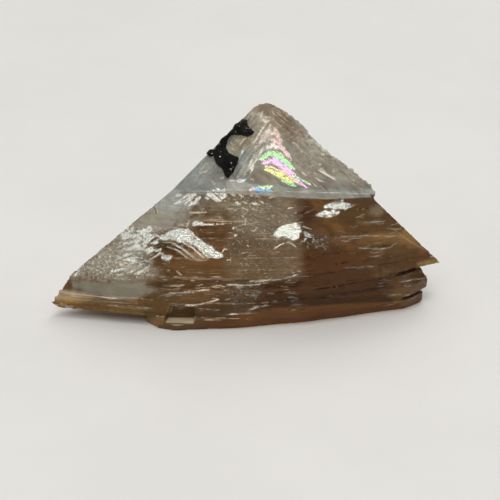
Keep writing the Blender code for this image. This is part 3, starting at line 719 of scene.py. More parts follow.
GLEAMS = (
    Gleam(((4.0, 24.4), (4.3, 23.5), (4.6, 23.0), (4.9, 22.2)), (206, 132, 140), 0.32, 0.75),
    Gleam(((1.9, 22.3), (2.5, 22.9), (3.1, 23.4)), (206, 160, 164), 0.4, 0.7),
    Gleam(((2.2, 23.3), (3.1, 23.9), (3.7, 23.6)), (214, 140, 158), 0.3, 0.7),
    Gleam(((3.5, 22.9), (4.5, 22.2), (5.5, 21.0), (6.3, 20.0)), (226, 160, 184), 0.36, 0.8),
    Gleam(((3.0, 21.7), (3.8, 22.0), (4.5, 21.6)), (226, 222, 214), 0.42, 0.8),
    Gleam(((2.1, 20.1), (2.9, 20.7), (3.6, 20.9), (4.6, 20.5), (5.5, 19.7), (6.6, 18.7)), (134, 232, 142),
        0.42),
    Gleam(((2.8, 20.2), (3.7, 20.35), (4.6, 19.9), (5.6, 19.1)), (110, 150, 190), 0.12, 0.7),
    Gleam(((2.5, 19.6), (3.6, 19.9), (4.6, 19.3), (5.5, 18.7), (6.6, 17.7), (8.4, 16.1)), (244, 170, 240),
        0.44),
    Gleam(((2.7, 19.05), (4.0, 18.8), (5.2, 18.15), (6.3, 17.4), (7.6, 16.4)), (236, 196, 150), 0.2, 0.9),
    Gleam(((2.8, 18.6), (3.9, 18.3), (4.9, 17.6), (5.8, 17.1), (6.7, 16.3)), (212, 228, 110), 0.34),
    Gleam(((5.0, 17.1), (6.0, 16.6), (6.9, 16.3)), (130, 222, 134), 0.24, 0.9),
    Gleam(((6.6, 17.8), (7.7, 17.1), (9.2, 16.3)), (120, 212, 124), 0.22, 0.8),
    Gleam(((0.7, 15.75), (1.7, 15.8)), (216, 170, 150), 0.5, 0.9),
    Gleam(((1.5, 15.75), (2.3, 15.75), (3.2, 15.85)), (120, 190, 240), 0.6, 1.0),
    Gleam(((2.0, 16.1), (3.5, 16.2)), (190, 214, 130), 0.28, 0.9),
)


class Graph:
    """A material's node tree, with short ways to add to it."""

    def __init__(self, name: str) -> None:
        """Makes a material with an empty Principled BSDF.

        Args:
            name: the material's name.
        """
        self.material = bpy.data.materials.new(name)
        self.material.use_nodes = True
        self.tree = self.material.node_tree
        self.shader = self.tree.nodes["Principled BSDF"]
        self.place = self.add("ShaderNodeTexCoord").outputs["Object"]

    def add(self, kind: str, **settings: object) -> bpy.types.Node:
        """Adds a node.

        Args:
            kind: its type.
            settings: the properties to set on it.

        Returns:
            The node.
        """
        node = self.tree.nodes.new(kind)
        for key, value in settings.items():
            setattr(node, key, value)
        return node

    def put(self, value: object, socket: Socket) -> None:
        """Links a socket or sets a plain value on an input.

        Args:
            value: the socket or the plain value.
            socket: the input.
        """
        if isinstance(value, Socket):
            self.tree.links.new(value, socket)
        else:
            socket.default_value = value

    def feed(self, name: str, value: Socket) -> None:
        """Links a socket to the shader's input of this name."""
        self.tree.links.new(value, self.shader.inputs[name])

    def attribute(self, name: str, output: str = "Fac") -> Socket:
        """Reads an attribute of the mesh."""
        return self.add("ShaderNodeAttribute", attribute_name=name).outputs[output]

    def noise(self, scale: Triple, detail: float = 3.0, rough: float = 0.6, turn: float = 0.0) -> Socket:
        """Adds noise.

        Args:
            scale: lumps a millimetre along each axis.
            detail: how many finer layers it has.
            rough: how strong each finer layer is.
            turn: how far its axes are turned about Y, in degrees.

        Returns:
            Its value, from 0 to 1.
        """
        mapping = self.add("ShaderNodeMapping", vector_type="TEXTURE")
        self.put(self.place, mapping.inputs["Vector"])
        mapping.inputs["Rotation"].default_value = (0.0, math.radians(turn), 0.0)
        mapping.inputs["Scale"].default_value = [MM / s for s in scale]
        noise = self.add("ShaderNodeTexNoise")
        self.put(mapping.outputs[0], noise.inputs["Vector"])
        noise.inputs["Scale"].default_value = 1.0
        noise.inputs["Detail"].default_value = detail
        noise.inputs["Roughness"].default_value = rough
        return noise.outputs["Fac"]

    def lines(self, scale: Triple, width: float, turn: float = 0.0) -> Socket:
        """Adds thin broken lines, which are the contours of drawn-out noise.

        Args:
            scale: lumps a millimetre along each axis.
            width: how wide the lines are, as a share of the noise.
            turn: how far its axes are turned about Y, in degrees.

        Returns:
            How strong a line is, from 0 to 1.
        """
        off = self.off_middle(self.noise(scale, turn=turn))
        spots = self.remap(self.noise((0.45, 0.5, 1.4), turn=turn), 0.46, 0.66, 0.0, 0.85)
        return self.times(self.remap(off, 0.3 * width, width, 1.0, 0.0), spots)

    def math(self, operation: str, a: object, b: object = 0.0) -> Socket:
        """Does arithmetic.

        Args:
            operation: what is done.
            a: the first value or socket.
            b: the second value or socket.

        Returns:
            The result.
        """
        node = self.add("ShaderNodeMath", operation=operation)
        self.put(a, node.inputs[0])
        self.put(b, node.inputs[1])
        return node.outputs[0]

    def times(self, a: object, b: object) -> Socket:
        """Multiplies two values or sockets."""
        return self.math("MULTIPLY", a, b)

    def most(self, *values: Socket) -> Socket:
        """Takes the largest of some sockets."""
        return reduce(lambda a, b: self.math("MAXIMUM", a, b), values)

    def off_middle(self, value: Socket) -> Socket:
        """Measures how far noise is from its middle value."""
        return self.math("ABSOLUTE", self.math("SUBTRACT", value, 0.5))

    def remap(self, value: object, low: float, high: float, to_low: float, to_high: float) -> Socket:
        """Carries a value from one range to another.

        Args:
            value: the value or socket.
            low: where the first range starts.
            high: where the first range ends.
            to_low: what low becomes, and all below it.
            to_high: what high becomes, and all above it.

        Returns:
            The result.
        """
        node = self.add("ShaderNodeMapRange", interpolation_type="SMOOTHSTEP")
        self.put(value, node.inputs["Value"])
        for key, number in (("From Min", low), ("From Max", high), ("To Min", to_low), ("To Max", to_high)):
            node.inputs[key].default_value = number
        return node.outputs["Result"]

    def mix(self, share: object, a: object, b: object, blend: str = "MIX") -> Socket:
        """Mixes two colours.

        Args:
            share: how much of the second.
            a: the first colour or socket.
            b: the second colour or socket.
            blend: how they are mixed.

        Returns:
            The mixed colour.
        """
        node = self.add("ShaderNodeMix", data_type="RGBA", blend_type=blend)
        for value, name in ((share, "Factor"), (a, "A"), (b, "B")):
            self.put(value, next(s for s in node.inputs if s.name == name and s.enabled))
        return next(s for s in node.outputs if s.enabled)

    def bump(self, height: Socket, depth: float, before: Socket | None = None, share: object = 1.0) -> Socket:
        """Turns heights into a bent normal.

        Args:
            height: the heights, from 0 to 1.
            depth: how high 1 is, in millimetres.
            before: the normal to bend, or none.
            share: how much of the bump shows.

        Returns:
            The normal.
        """
        node = self.add("ShaderNodeBump")
        node.inputs["Distance"].default_value = depth * MM
        self.put(height, node.inputs["Height"])
        self.put(share, node.inputs["Strength"])
        if before:
            self.put(before, node.inputs["Normal"])
        return node.outputs["Normal"]


@dataclass(frozen=True)
class BariteFinish:
    """Hazy clear to smoky barite, with foil-bright breaks, pale specks and a rainbow break."""

    ior: float = 1.64
    clearness: float = 0.66
    specular: float = 0.24
    gloss_tint: Colour = (1.0, 0.72, 0.44)
    glint: Colour = linear(249, 255, 247)
    specks: Colour = linear(222, 216, 202)
    # The colour of the pale lines, and of the painted highlights on the plates' rims, ledge edges and
    # cleavage lines.
    rims: Colour = linear(234, 228, 212)
    absorbed: Colour = (0.86, 0.66, 0.42)
    density: float = 20.0
    foil_tilt: float = 1.4
    foil_metal: float = 0.85
    play_metal: float = 0.6
    rim_metal: float = 0.3
    coarse: Triple = (3.4, 3.4, 4.2)
    fine: Triple = (6.5, 6.5, 8.0)
    body_lines: Triple = (0.08, 0.12, 2.8)
    crown_lines: Triple = (0.12, 0.2, 2.4)

    def material(self) -> bpy.types.Material:
        """Builds the finish.

        Returns:
            The material, which reads the skin's attributes.
        """
        graph = Graph("smoky_barite")
        shader = graph.shader
        frost = graph.attribute("frost")
        coarse = graph.noise(self.coarse, 3.0, 0.7)
        fine = graph.noise(self.fine, 2.0, 0.65)
        drawn = graph.times(graph.attribute("lined"), graph.lines(self.body_lines, 0.011, -2.0))
        falling = graph.times(graph.attribute("veined"), graph.lines(self.crown_lines, 0.008, 38.0))
        pale = graph.most(graph.attribute("pale"), graph.most(drawn, falling))
        bright = self.bright(graph, frost, coarse, fine)
        play = graph.times(graph.attribute("play_amount"), graph.remap(fine, 0.4, 0.56, 0.25, 1.0))
        # Pale lines and the painted highlights on rims, ledge edges and cleavage lines lighten the veined
        # colour.
        base = graph.mix(pale, self.veined(graph), (*self.rims, 1.0))
        specked = graph.times(frost, graph.remap(fine, 0.53, 0.61, 0.0, 0.9))
        base = graph.mix(specked, base, (*self.specks, 1.0))
        # Painted shade: dark specks in the frost take the shade tone, as shade in small dents.
        dent_shade = graph.times(frost, graph.remap(coarse, 0.36, 0.48, 0.8, 0.0))
        base = graph.mix(dent_shade, base, (*Tone.SHADE.value, 1.0))
        base = graph.mix(bright, base, (*self.glint, 1.0))
        graph.feed("Base Color", graph.mix(play, base, graph.attribute("play", "Color")))
        mirror = graph.most(graph.times(bright, self.foil_metal), graph.times(play, self.play_metal))
        graph.feed("Metallic", graph.most(mirror, graph.times(pale, self.rim_metal)))
        milk = graph.most(graph.attribute("milk"), graph.times(pale, 0.8), graph.times(bright, 0.7))
        graph.feed("Transmission Weight", graph.remap(milk, 0.0, 1.0, self.clearness, 0.0))
        rough = graph.remap(graph.noise((0.5, 0.5, 2.2), 4.0), 0.3, 0.7, 0.12, 0.22)
        graph.feed("Roughness", graph.math("ADD", rough, graph.times(frost, 0.15)))
        leaning = graph.most(bright, pale, graph.times(play, 0.55))
        graph.feed("Normal", self.normal(graph, frost, coarse, bright, leaning))
        shader.inputs["IOR"].default_value = self.ior
        shader.inputs["Specular IOR Level"].default_value = self.specular
        shader.inputs["Specular Tint"].default_value = (*self.gloss_tint, 1.0)
        volume = graph.add("ShaderNodeVolumeAbsorption")
        volume.inputs["Color"].default_value = (*self.absorbed, 1.0)
        volume.inputs["Density"].default_value = self.density
        graph.put(volume.outputs[0], graph.tree.nodes["Material Output"].inputs["Volume"])
        return graph.material

    @staticmethod
    def bright(graph: Graph, frost: Socket, coarse: Socket, fine: Socket) -> Socket:
        """Crumples the foil-bright breaks and adds the sparks of the frost.

        Args:
            graph: the material.
            frost: how thick the specks are.
            coarse: noise of the crumples' size.
            fine: noise of the creases' size.

        Returns:
            How bright each place is, from 0 to 1.
        """
        creases = graph.remap(graph.off_middle(fine), 0.0, 0.03, 0.55, 1.0)
        crumple = graph.times(creases, graph.remap(coarse, 0.37, 0.48, 0.5, 1.0))
        sparks = graph.times(frost, graph.remap(coarse, 0.6, 0.64, 0.0, 1.0))
        return graph.most(graph.times(graph.attribute("shine"), crumple), sparks)

    def normal(self, graph: Graph, frost: Socket, coarse: Socket, bright: Socket, leaning: Socket) -> Socket:
        """Adds the fine lines and pebbles, crumples what is bright, and leans it up to the light.

        Args:
            graph: the material.
            frost: how thick the specks are.
            coarse: noise of the crumples' size.
            bright: how bright each place is.
            leaning: how far each place leans up.

        Returns:
            The normal.
        """
        lines = graph.bump(graph.noise((0.25, 0.4, 6.0)), 0.03, share=graph.attribute("grain"))
        pebbles = graph.bump(graph.noise((1.6, 1.6, 2.4)), 0.012, lines)
        crumpled = graph.bump(coarse, 0.28, pebbles, graph.most(bright, graph.times(frost, 0.35)))
        split = graph.add("ShaderNodeSeparateXYZ")
        graph.put(graph.place, split.inputs[0])
        return graph.bump(graph.times(split.outputs["Z"], -1 / MM), self.foil_tilt, crumpled, leaning)

    @staticmethod
    def veined(graph: Graph) -> Socket:
        """Streaks and clouds the growth zones' colours.

        Args:
            graph: the material.

        Returns:
            The colour.
        """
        streaks = graph.remap(graph.noise((0.14, 0.2, 2.4), 5.0, 0.65), 0.32, 0.68, 0.8, 1.22)
        hairs = graph.remap(graph.noise((0.3, 0.4, 7.5), 2.0), 0.35, 0.65, 0.88, 1.12)
        veins = graph.mix(graph.attribute("grain"), (1, 1, 1, 1), graph.times(streaks, hairs))
        clouds = graph.remap(graph.noise((0.4, 0.4, 0.5), 4.0), 0.3, 0.7, 0.86, 1.13)
        veined = graph.mix(1.0, graph.attribute("tone", "Color"), veins, "MULTIPLY")
        return graph.mix(1.0, veined, clouds, "MULTIPLY")


@dataclass(frozen=True)
class BlackMineralFinish:
    """Glossy, lumpy black ore."""

    specular: float = 0.16
    hollows: Colour = (0.0025, 0.0022, 0.002)
    tops: Colour = (0.014, 0.01, 0.008)
    glint: Colour = linear(244, 243, 238)
    glint_metal: float = 0.8
    lump_scale: Triple = (1.6, 1.6, 1.6)
    glint_scale: Triple = (2.6, 2.6, 2.6)

    def material(self) -> bpy.types.Material:
        """Builds the finish.

        Returns:
            The material.
        """
        graph = Graph("black_mineral")
        lumps = graph.noise(self.lump_scale, 5.0)
        colour = graph.mix(graph.remap(lumps, 0.45, 0.7, 0.0, 1.0), (*self.hollows, 1.0), (*self.tops, 1.0))
        glints = graph.remap(graph.noise(self.glint_scale, 2.0), 0.67, 0.71, 0.0, 1.0)
        graph.feed("Base Color", graph.mix(glints, colour, (*self.glint, 1.0)))
        graph.feed("Metallic", graph.times(glints, self.glint_metal))
        graph.feed("Roughness", graph.remap(lumps, 0.3, 0.7, 0.08, 0.25))
        graph.feed("Normal", graph.bump(graph.noise(self.glint_scale, 4.0), 0.3))
        graph.shader.inputs["Specular IOR Level"].default_value = self.specular
        return graph.material


def placed(name: str, data: bpy.types.ID) -> bpy.types.Object:
    """Makes an object of a mesh, lamp or camera and puts it in the scene.

    Args:
        name: the object's name.
        data: what it shows.

    Returns:
        The object.
    """
    made = bpy.data.objects.new(name, data)
    bpy.context.scene.collection.objects.link(made)
    return made


def finished(mesh: bpy.types.Mesh, material: bpy.types.Material) -> None:
    """Gives a mesh its one finish and smooth shading.

    Args:
        mesh: the mesh.
        material: the finish.
    """
    mesh.materials.clear()
    mesh.materials.append(material)
    mesh.polygons.foreach_set("use_smooth", [True] * len(mesh.polygons))


def point_arrays(mesh: bpy.types.Mesh) -> tuple[Array, Array]:
    """Reads a mesh's points.

    Args:
        mesh: the mesh.

    Returns:
        The points in millimetres and their normals, each n by 3.
    """
    points = np.zeros(len(mesh.vertices) * 3, np.float32)
    mesh.vertices.foreach_get("co", points)
    normals = np.zeros_like(points)
    mesh.vertex_normals.foreach_get("vector", normals)
    return points.reshape(-1, 3).astype(float) / MM, normals.reshape(-1, 3).astype(float)


def move_points(mesh: bpy.types.Mesh, points: Array) -> None:
    """Puts a mesh's points at these places, in millimetres."""
    mesh.vertices.foreach_set("co", (points * MM).astype(np.float32).ravel())
    mesh.update()


def write(mesh: bpy.types.Mesh, name: str, values: Array) -> None:
    """Writes one attribute of a mesh's points.

    Args:
        mesh: the mesh.
        name: the attribute's name.
        values: n by 4 for a colour, else n.
    """
    kind, key = ("FLOAT_COLOR", "color") if values.ndim == 2 else ("FLOAT", "value")
    made = mesh.attributes.new(name, kind, "POINT")
    made.data.foreach_set(key, values.astype(np.float32).ravel())


@contextmanager
def edited(mesh: bpy.types.Mesh) -> Iterator[bmesh.types.BMesh]:
    """Opens a mesh to be edited and writes it back.

    Args:
        mesh: the mesh.

    Returns:
        Its editable form, which is written back when the block ends.
    """
    made = bmesh.new()
    made.from_mesh(mesh)
    yield made
    made.to_mesh(mesh)
    made.free()


def voxel_mesh(source: bpy.types.Mesh, pitch: float) -> bpy.types.Mesh:
    """Makes an even mesh of a closed one.

    Args:
        source: the closed mesh.
        pitch: the size of its faces, in millimetres.

    Returns:
        The even mesh.
    """
    coarse = placed("coarse", source)
    remesh = coarse.modifiers.new("remesh", "REMESH")
    remesh.mode = "VOXEL"
    remesh.voxel_size = pitch * MM
    fine = bpy.data.meshes.new_from_object(coarse.evaluated_get(bpy.context.evaluated_depsgraph_get()))
    bpy.data.objects.remove(coarse)
    return fine


def welded(solid: bpy.types.Object) -> bmesh.types.BMesh:
    """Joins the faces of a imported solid's mesh.

    Args:
        solid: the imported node.

    Returns:
        Its closed mesh, to be freed after use.
    """
    made = bmesh.new()
    made.from_mesh(solid.data)
    bmesh.ops.remove_doubles(made, verts=made.verts, dist=WELD)
    return made


def mesh_of(made: bmesh.types.BMesh, name: str) -> bpy.types.Mesh:
    """Turns an editable mesh into a plain one and frees it.

    Args:
        made: the editable mesh.
        name: the plain mesh's name.

    Returns:
        The plain mesh.
    """
    mesh = bpy.data.meshes.new(name)
    made.to_mesh(mesh)
    made.free()
    return mesh


class SolidForm:
    """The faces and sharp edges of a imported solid, for a finer skin to lie on."""

    EDGE_SPACING: ClassVar[float] = 0.03 * MM
    SHARP: ClassVar[float] = math.radians(18)

    def __init__(self, solid: bpy.types.Object) -> None:
        """Reads the solid.

        Args:
            solid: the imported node.
        """
        made = welded(solid)
        self.faces = BVHTree.FromBMesh(made)
        spots = []
        for edge in made.edges:
            if len(edge.link_faces) == 2 and edge.calc_face_angle() > self.SHARP:
                start, end = (v.co.copy() for v in edge.verts)
                count = max(int((end - start).length / self.EDGE_SPACING), 1)
                spots += [start.lerp(end, i / count) for i in range(count + 1)]
        self.edges = KDTree(len(spots))
        for index, spot in enumerate(spots):
            self.edges.insert(spot, index)
        self.edges.balance()
        made.free()

    def lay(self, mesh: bpy.types.Mesh, reach: float) -> Array:
        """Moves a mesh's points onto the solid's sharp edges where one is near, else onto its faces.

        Args:
            mesh: the skin's mesh.
            reach: how near an edge has to be, in millimetres.

        Returns:
            How far each point was from a sharp edge, in millimetres.
        """
        places = np.zeros((len(mesh.vertices), 3))
        gaps = np.zeros(len(places))
        for index, vert in enumerate(mesh.vertices):
            spot, _, away = self.edges.find(vert.co)
            gaps[index] = away / MM
            places[index] = spot if gaps[index] < reach else self.faces.find_nearest(vert.co)[0]
        move_points(mesh, places / MM)
        return gaps


@dataclass
class CrystalSkin:
    """The crystal's visible skin, which replaces its solid."""

    FLAT: ClassVar[Span] = (0.6, 0.85)
    FIBRE_FACE: ClassVar[Outline] = (
        (0.5, 29), (3.8, 25), (3.4, 23.6), (2.2, 20.9), (0.6, 18.0), (-1.4, 16.6), (-8, 16.6), (-6, 22))
    RIDGE: ClassVar[Outline] = ((8.6, 23.6), (10.6, 21.6), (13.6, 19.8), (17.0, 17.6), (20.0, 16.2))
    BLUSH: ClassVar[Triple] = (0.14, -0.02, -0.06)

    node: str = "barite_crystal"
    pitch: float = 0.3
    front: float = 0.2
    first_reach: float = 0.5
    last_reach: float = 0.26
    eased_from: float = 1.5
    easing: int = 6
    crease: float = math.radians(32)
    plate: float = 0.9
    plate_step: float = 0.04
    back_step: float = 0.1
    swell: float = 0.035
    fibre_height: float = 0.05
    scallop_height: float = 0.3
    rim_strength: float = 0.4
    shelf_up: float = 13.8
    front_depth: float = 2.0
    fibre_lean: float = 56
    vein_lean: float = -42
    scallop_lean: float = -40
    play_lean: float = -33
    crown_milk: float = 0.25
    crown_frost: float = 0.2
    foot: float = 0.5
    tip_start: float = -26.6
    tip_top: float = 3.76
    tip_height: float = 2.26
    tip_rise: float = 0.74
    seed: int = 11

    def build(self) -> bpy.types.Object:
        """Makes the skin.

        Returns:
            The skin as an object, riding on the crystal's body.
        """
        mesh = self.laid_mesh()
        surface = Surface(*point_arrays(mesh), self.seed)
        height, shine, pale = self.relief(surface)
        self.move(mesh, surface, height)
        self.dress(mesh, surface, shine)
        write(mesh, "pale", pale)
        finished(mesh, BariteFinish().material())
        mesh.set_sharp_from_angle(angle=self.crease)
        skin = placed("barite_crystal_skin", mesh)
        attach(skin, "root")
        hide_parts(self.node)
        return skin

    def laid_mesh(self) -> bpy.types.Mesh:
        """Meshes the solid finely, with faces half the size on the front, and eases it away from sharp edges.

        Returns:
            The mesh, laid on the solid's faces and edges.
        """
        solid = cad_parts[self.node]
        form = SolidForm(solid)
        mesh = voxel_mesh(mesh_of(welded(solid), "joined"), self.pitch)
        form.lay(mesh, self.first_reach * self.pitch)
        sight = Vector((0.0, -math.cos(VIEW_TILT), math.sin(VIEW_TILT)))
        with edited(mesh) as made:
            edges = {e for f in made.faces if f.normal.dot(sight) > self.front for e in f.edges}
            bmesh.ops.subdivide_edges(made, edges=list(edges), cuts=1, use_grid_fill=True)
        gaps = form.lay(mesh, self.last_reach * self.pitch)
        axes = {"use_axis_x": True, "use_axis_y": True, "use_axis_z": True}
        with edited(mesh) as made:
            free = [vert for vert, gap in zip(made.verts, gaps) if gap > self.eased_from * self.pitch]
            for _ in range(self.easing):
                bmesh.ops.smooth_vert(made, verts=free, factor=0.5, **axes)
        return mesh

    def relief(self, surface: Surface) -> tuple[Array, Array, Array]:
        """Adds up the relief.

        Args:
            surface: the points.

        Returns:
            How far each point moves out in millimetres, how bright it is as a break, and how pale it is from
            pale lines and painted highlights.
        """
        noise, points = surface.noise, surface.points
        layer = surface.z / self.plate + 1.1 * noise.at(points, (9, 9, 4))
        layer += 0.35 * noise.layered(points, (3, 3, 1.6), 3)
        patches = np.clip(0.4 + 1.4 * noise.at(points + 31, (6, 6, 3)), 0.05, 1.1)
        step = self.plate_step + (self.back_step - self.plate_step) * (1 - surface.facing)
        height = step * (np.mod(layer, 1.0) - 0.6) * (patches * self.grain(surface))
        height += self.swell * noise.layered(points, 4.0, 2)
        height += self.fibre_height * self.fibres(surface) + self.scallop_height * self.scallops(surface)
        shine = np.zeros(len(points))
        # Painted highlight: the up-facing tops of the plates on the front show as bright rims.
        pale = self.rim_strength * self.rims(surface)
        dice = np.random.default_rng(self.seed)
        scratches = [thread for part in SCRATCHES for thread in part.threads(dice)]
        for mark in (*LEDGES, *THREADS, *scratches):
            out, bright = mark.height(surface)
            height += out
            pale = np.maximum(pale, bright)
        for foil in FOILS:
            out, bright = foil.height(surface)
            height += out
            shine = np.maximum(shine, bright)
        return height, shine, pale

    def rims(self, surface: Surface) -> Array:
        """Finds the narrow up-facing tops of the plates that step out on the front, where a painted highlight
        shows as a bright rim.

        Args:
            surface: the points.

        Returns:
            How much painted rim highlight each point has, from 0 to 1.
        """
        top = ramp(*self.FLAT, surface.normals[:, 2]) * (surface.up < self.shelf_up)
        top = top * (surface.y < self.front_depth) * (1 - 0.6 * ramp(6.0, 9.0, surface.across))
        broken = np.clip(0.5 + 0.8 * surface.noise.at(surface.points + 17, (1.6, 0.8, 0.8)), 0, 1)
        return top * surface.facing * broken

    def grain(self, surface: Surface) -> Array:
        """Works out how strongly plates and streaks show: most at the left, little at the right and on top.

        Args:
            surface: the points.

        Returns:
            The strength, from 0 to 1.
        """
        high = ramp(2.5, 9.0, surface.up) * surface.facing
        right = ramp(7.0, 9.5, surface.across) * surface.facing
        front = 1 - np.maximum(0.75 * right, 0.55 * high)
        return front * (1 - 0.8 * surface.crown) * (1 - 0.75 * self.slate(surface))

    def lined(self, surface: Surface) -> Array:
        """Works out how strongly the body's thin pale lines show: most low down, not in the smooth parts.

        Args:
            surface: the points.

        Returns:
            The strength, from 0 to 1.
        """
        low = 0.45 + 0.55 * ramp(6.0, 3.0, surface.up)
        across, up = surface.across, surface.up
        smooth = ramp(7.0, 9.0, across) * ramp(19.5, 17.5, across) * ramp(9.0, 7.0, up)
        plain = (1 - 0.97 * smooth) * (1 - self.slate(surface)) * (1 - surface.crown)
        return low * plain * ramp(-1.9, -1.0, up)

    def slate(self, surface: Surface) -> Array:
        """How much each point is in the smooth grey band at the left."""
        return SLATE_BAND.share(surface) * surface.facing

    def fibres(self, surface: Surface) -> Array:
        """Works out the fibres that run down the crown's left face.

        Args:
            surface: the points.

        Returns:
            Their height, from about -1 to 1.
        """
        noise, turned = surface.noise, surface.turned(self.fibre_lean)
        inside = ramp(-0.3, 0.3, surface.depth_inside(self.FIBRE_FACE)) * surface.crown * surface.facing
        inside = inside * (0.3 + 0.7 * ramp(-2.2, -0.8, surface.across))
        return inside * (noise.at(turned, (2.6, 0.34, 3)) + 0.6 * noise.at(turned + 5, (1.2, 0.17, 2)))

    def scallops(self, surface: Surface) -> Array:
        """Works out the scalloped breaks along the crown's right ridge.

        Args:
            surface: the points.

        Returns:
            Their height, from about -1 to 1.
        """
        noise, turned = surface.noise, surface.turned(self.scallop_lean)
        away, _ = surface.from_line(self.RIDGE)
        near = ramp(1.6, 0.4, away) * ramp(18.3, 18.6, surface.z)
        return near * (noise.at(turned, (1.0, 0.5, 1)) + 0.6 * noise.at(turned + 6, (0.5, 0.22, 1)))

    def crown_veins(self, surface: Surface) -> Array:
        """Works out the faint veins and tints inside the crown's glass.

        Args:
            surface: the points.

        Returns:
            What each colour is multiplied by, n by 3.
        """
        noise, falling = surface.noise, surface.turned(self.vein_lean)
        veins = noise.at(falling, (3.0, 0.45, 3)) + 0.7 * noise.at(falling + 8, (1.2, 0.2, 2))
        clouds = noise.layered(surface.points + 90, 2.4, 3)
        blush = noise.layered(surface.points + 140, 1.5, 2)
        light = 1 + (0.2 * veins + 0.3 * clouds) * (0.5 + 0.5 * surface.facing)
        return light[:, None] * (1 + np.outer(blush * surface.facing, self.BLUSH))

    def move(self, mesh: bpy.types.Mesh, surface: Surface, height: Array) -> None:
        """Moves the points out along their normals, inside the solid's box and off its flat foot.

        The underside of the left tip also rises to its point.

        Args:
            mesh: the fine mesh.
            surface: the points.
            height: how far each moves, in millimetres.
        """
        low, high = (np.array(corner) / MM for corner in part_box(self.node))
        height = height * ramp(0.0, self.foot, surface.z)
        moved = np.clip(surface.points + surface.normals * height[:, None], low, high)
        near = np.clip(self.tip_start - moved[:, 0], 0, 1)
        moved[:, 2] += self.tip_rise * near * np.clip((self.tip_top - moved[:, 2]) / self.tip_height, 0, 1)
        move_points(mesh, moved)

    def dress(self, mesh: bpy.types.Mesh, surface: Surface, shine: Array) -> None:
        """Writes the attributes that the finish reads.

        Args:
            mesh: the fine mesh.
            surface: the points.
            shine: how bright each point is as a break.
        """
        body, body_milk = self.painted(surface, Tone.BROWN, 0.0, ZONES)
        crown, crown_milk = self.painted(surface, Tone.GLASS, self.crown_milk, CROWN_ZONES)
        fibres = self.fibres(surface)
        crown = crown * (1 + 0.7 * np.clip(fibres, -0.6, 1))[:, None] * self.crown_veins(surface)
        share = surface.crown[:, None]
        tone = np.clip(body * (1 - share) + crown * share, 0, PALEST)
        write(mesh, "tone", np.column_stack((tone, np.ones(len(tone)))))
        write(mesh, "milk", body_milk * (1 - surface.crown) + crown_milk * surface.crown)
        write(mesh, "shine", np.maximum(shine, 0.6 * ramp(0.55, 0.9, fibres)))
        frost = np.max([mark.share(surface) for mark in FROSTS], axis=0) * (1 - self.slate(surface))
        write(mesh, "frost", np.maximum(frost, self.crown_frost * surface.crown * surface.facing))
        write(mesh, "grain", self.grain(surface))
        write(mesh, "lined", self.lined(surface))
        write(mesh, "veined", surface.crown * surface.facing)
        self.play(mesh, surface)

    @staticmethod
    def painted(surface: Surface, ground: Tone, milk: float, zones: tuple[Zone, ...]) -> tuple[Array, Array]:
        """Lays zones of colour over a ground colour.

        Args:
            surface: the points.
            ground: the colour under the zones.
            milk: how milky the ground is.
            zones: the zones, the lowest first.

        Returns:
            The colours, n by 3, and how milky each point is.
        """
        paint = np.tile((*ground.value, milk), (len(surface.points), 1))
        for zone in zones:
            share = zone.share(surface)[:, None]
            paint = paint * (1 - share) + share * np.array((*zone.tone.value, zone.milk))
        return paint[:, :3], paint[:, 3]

    def play(self, mesh: bpy.types.Mesh, surface: Surface) -> None:
        """Writes the rainbow break's colours and strength.

        Args:
            mesh: the fine mesh.
            surface: the points.
        """
        noise, turned = surface.noise, surface.turned(self.play_lean)
        fringe = 0.8 * noise.at(turned, (1.3, 0.2, 2)) + 0.5 * noise.at(turned + 4, (0.45, 0.15, 2))
        colour = np.full((len(surface.points), 4), 0.6)
        amount = np.zeros(len(surface.points))
        for gleam in GLEAMS:
            share = gleam.share(surface, fringe) * surface.crown
            colour[:, :3] += share[:, None] * (np.array(linear(*gleam.colour)) - colour[:, :3])
            amount = np.maximum(amount, share)
        write(mesh, "play", colour)
        write(mesh, "play_amount", amount)


@dataclass
class BlackCrust:
    """The lumpy black crust on the crown, which replaces its solid and reaches down into the crystal."""

    node: str = "black_mineral_crust"
    pitch: float = 0.09
    sink: float = 0.4
    outwards: Triple = (-0.44, -0.66, 0.61)
    under: float = -0.6
    lump: float = 0.16
    small_lump: float = 0.09
    inset: float = 0.06
    seed: int = 5

    def build(self) -> bpy.types.Object:
        """Makes the crust.

        Returns:
            The crust as an object, riding on the crystal's body.
        """
        outwards = Vector(self.outwards).normalized()
        made = welded(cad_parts[self.node])
        for vert in {v for f in made.faces if f.normal.dot(outwards) < self.under for v in f.verts}:
            vert.co -= outwards * self.sink * MM
        mesh = voxel_mesh(mesh_of(made, "deep"), self.pitch)
        points, normals = point_arrays(mesh)
        noise = Noise(self.seed)
        lumps = self.lump * np.abs(noise.at(points, 0.9)) + self.small_lump * np.abs(noise.at(points, 0.4))
        move_points(mesh, points + normals * (lumps - self.inset)[:, None])
        finished(mesh, BlackMineralFinish().material())
        crust = placed("black_crust_lumps", mesh)
        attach(crust, "root")
        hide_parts(self.node)
        return crust


@dataclass(frozen=True)
class Lamp:
    """A square soft light, aimed at the crystal. Its place and size are in metres, and its power in watts."""

    name: str
    place: Triple
    size: float
    power: float
    tint: Colour = (1.0, 1.0, 1.0)


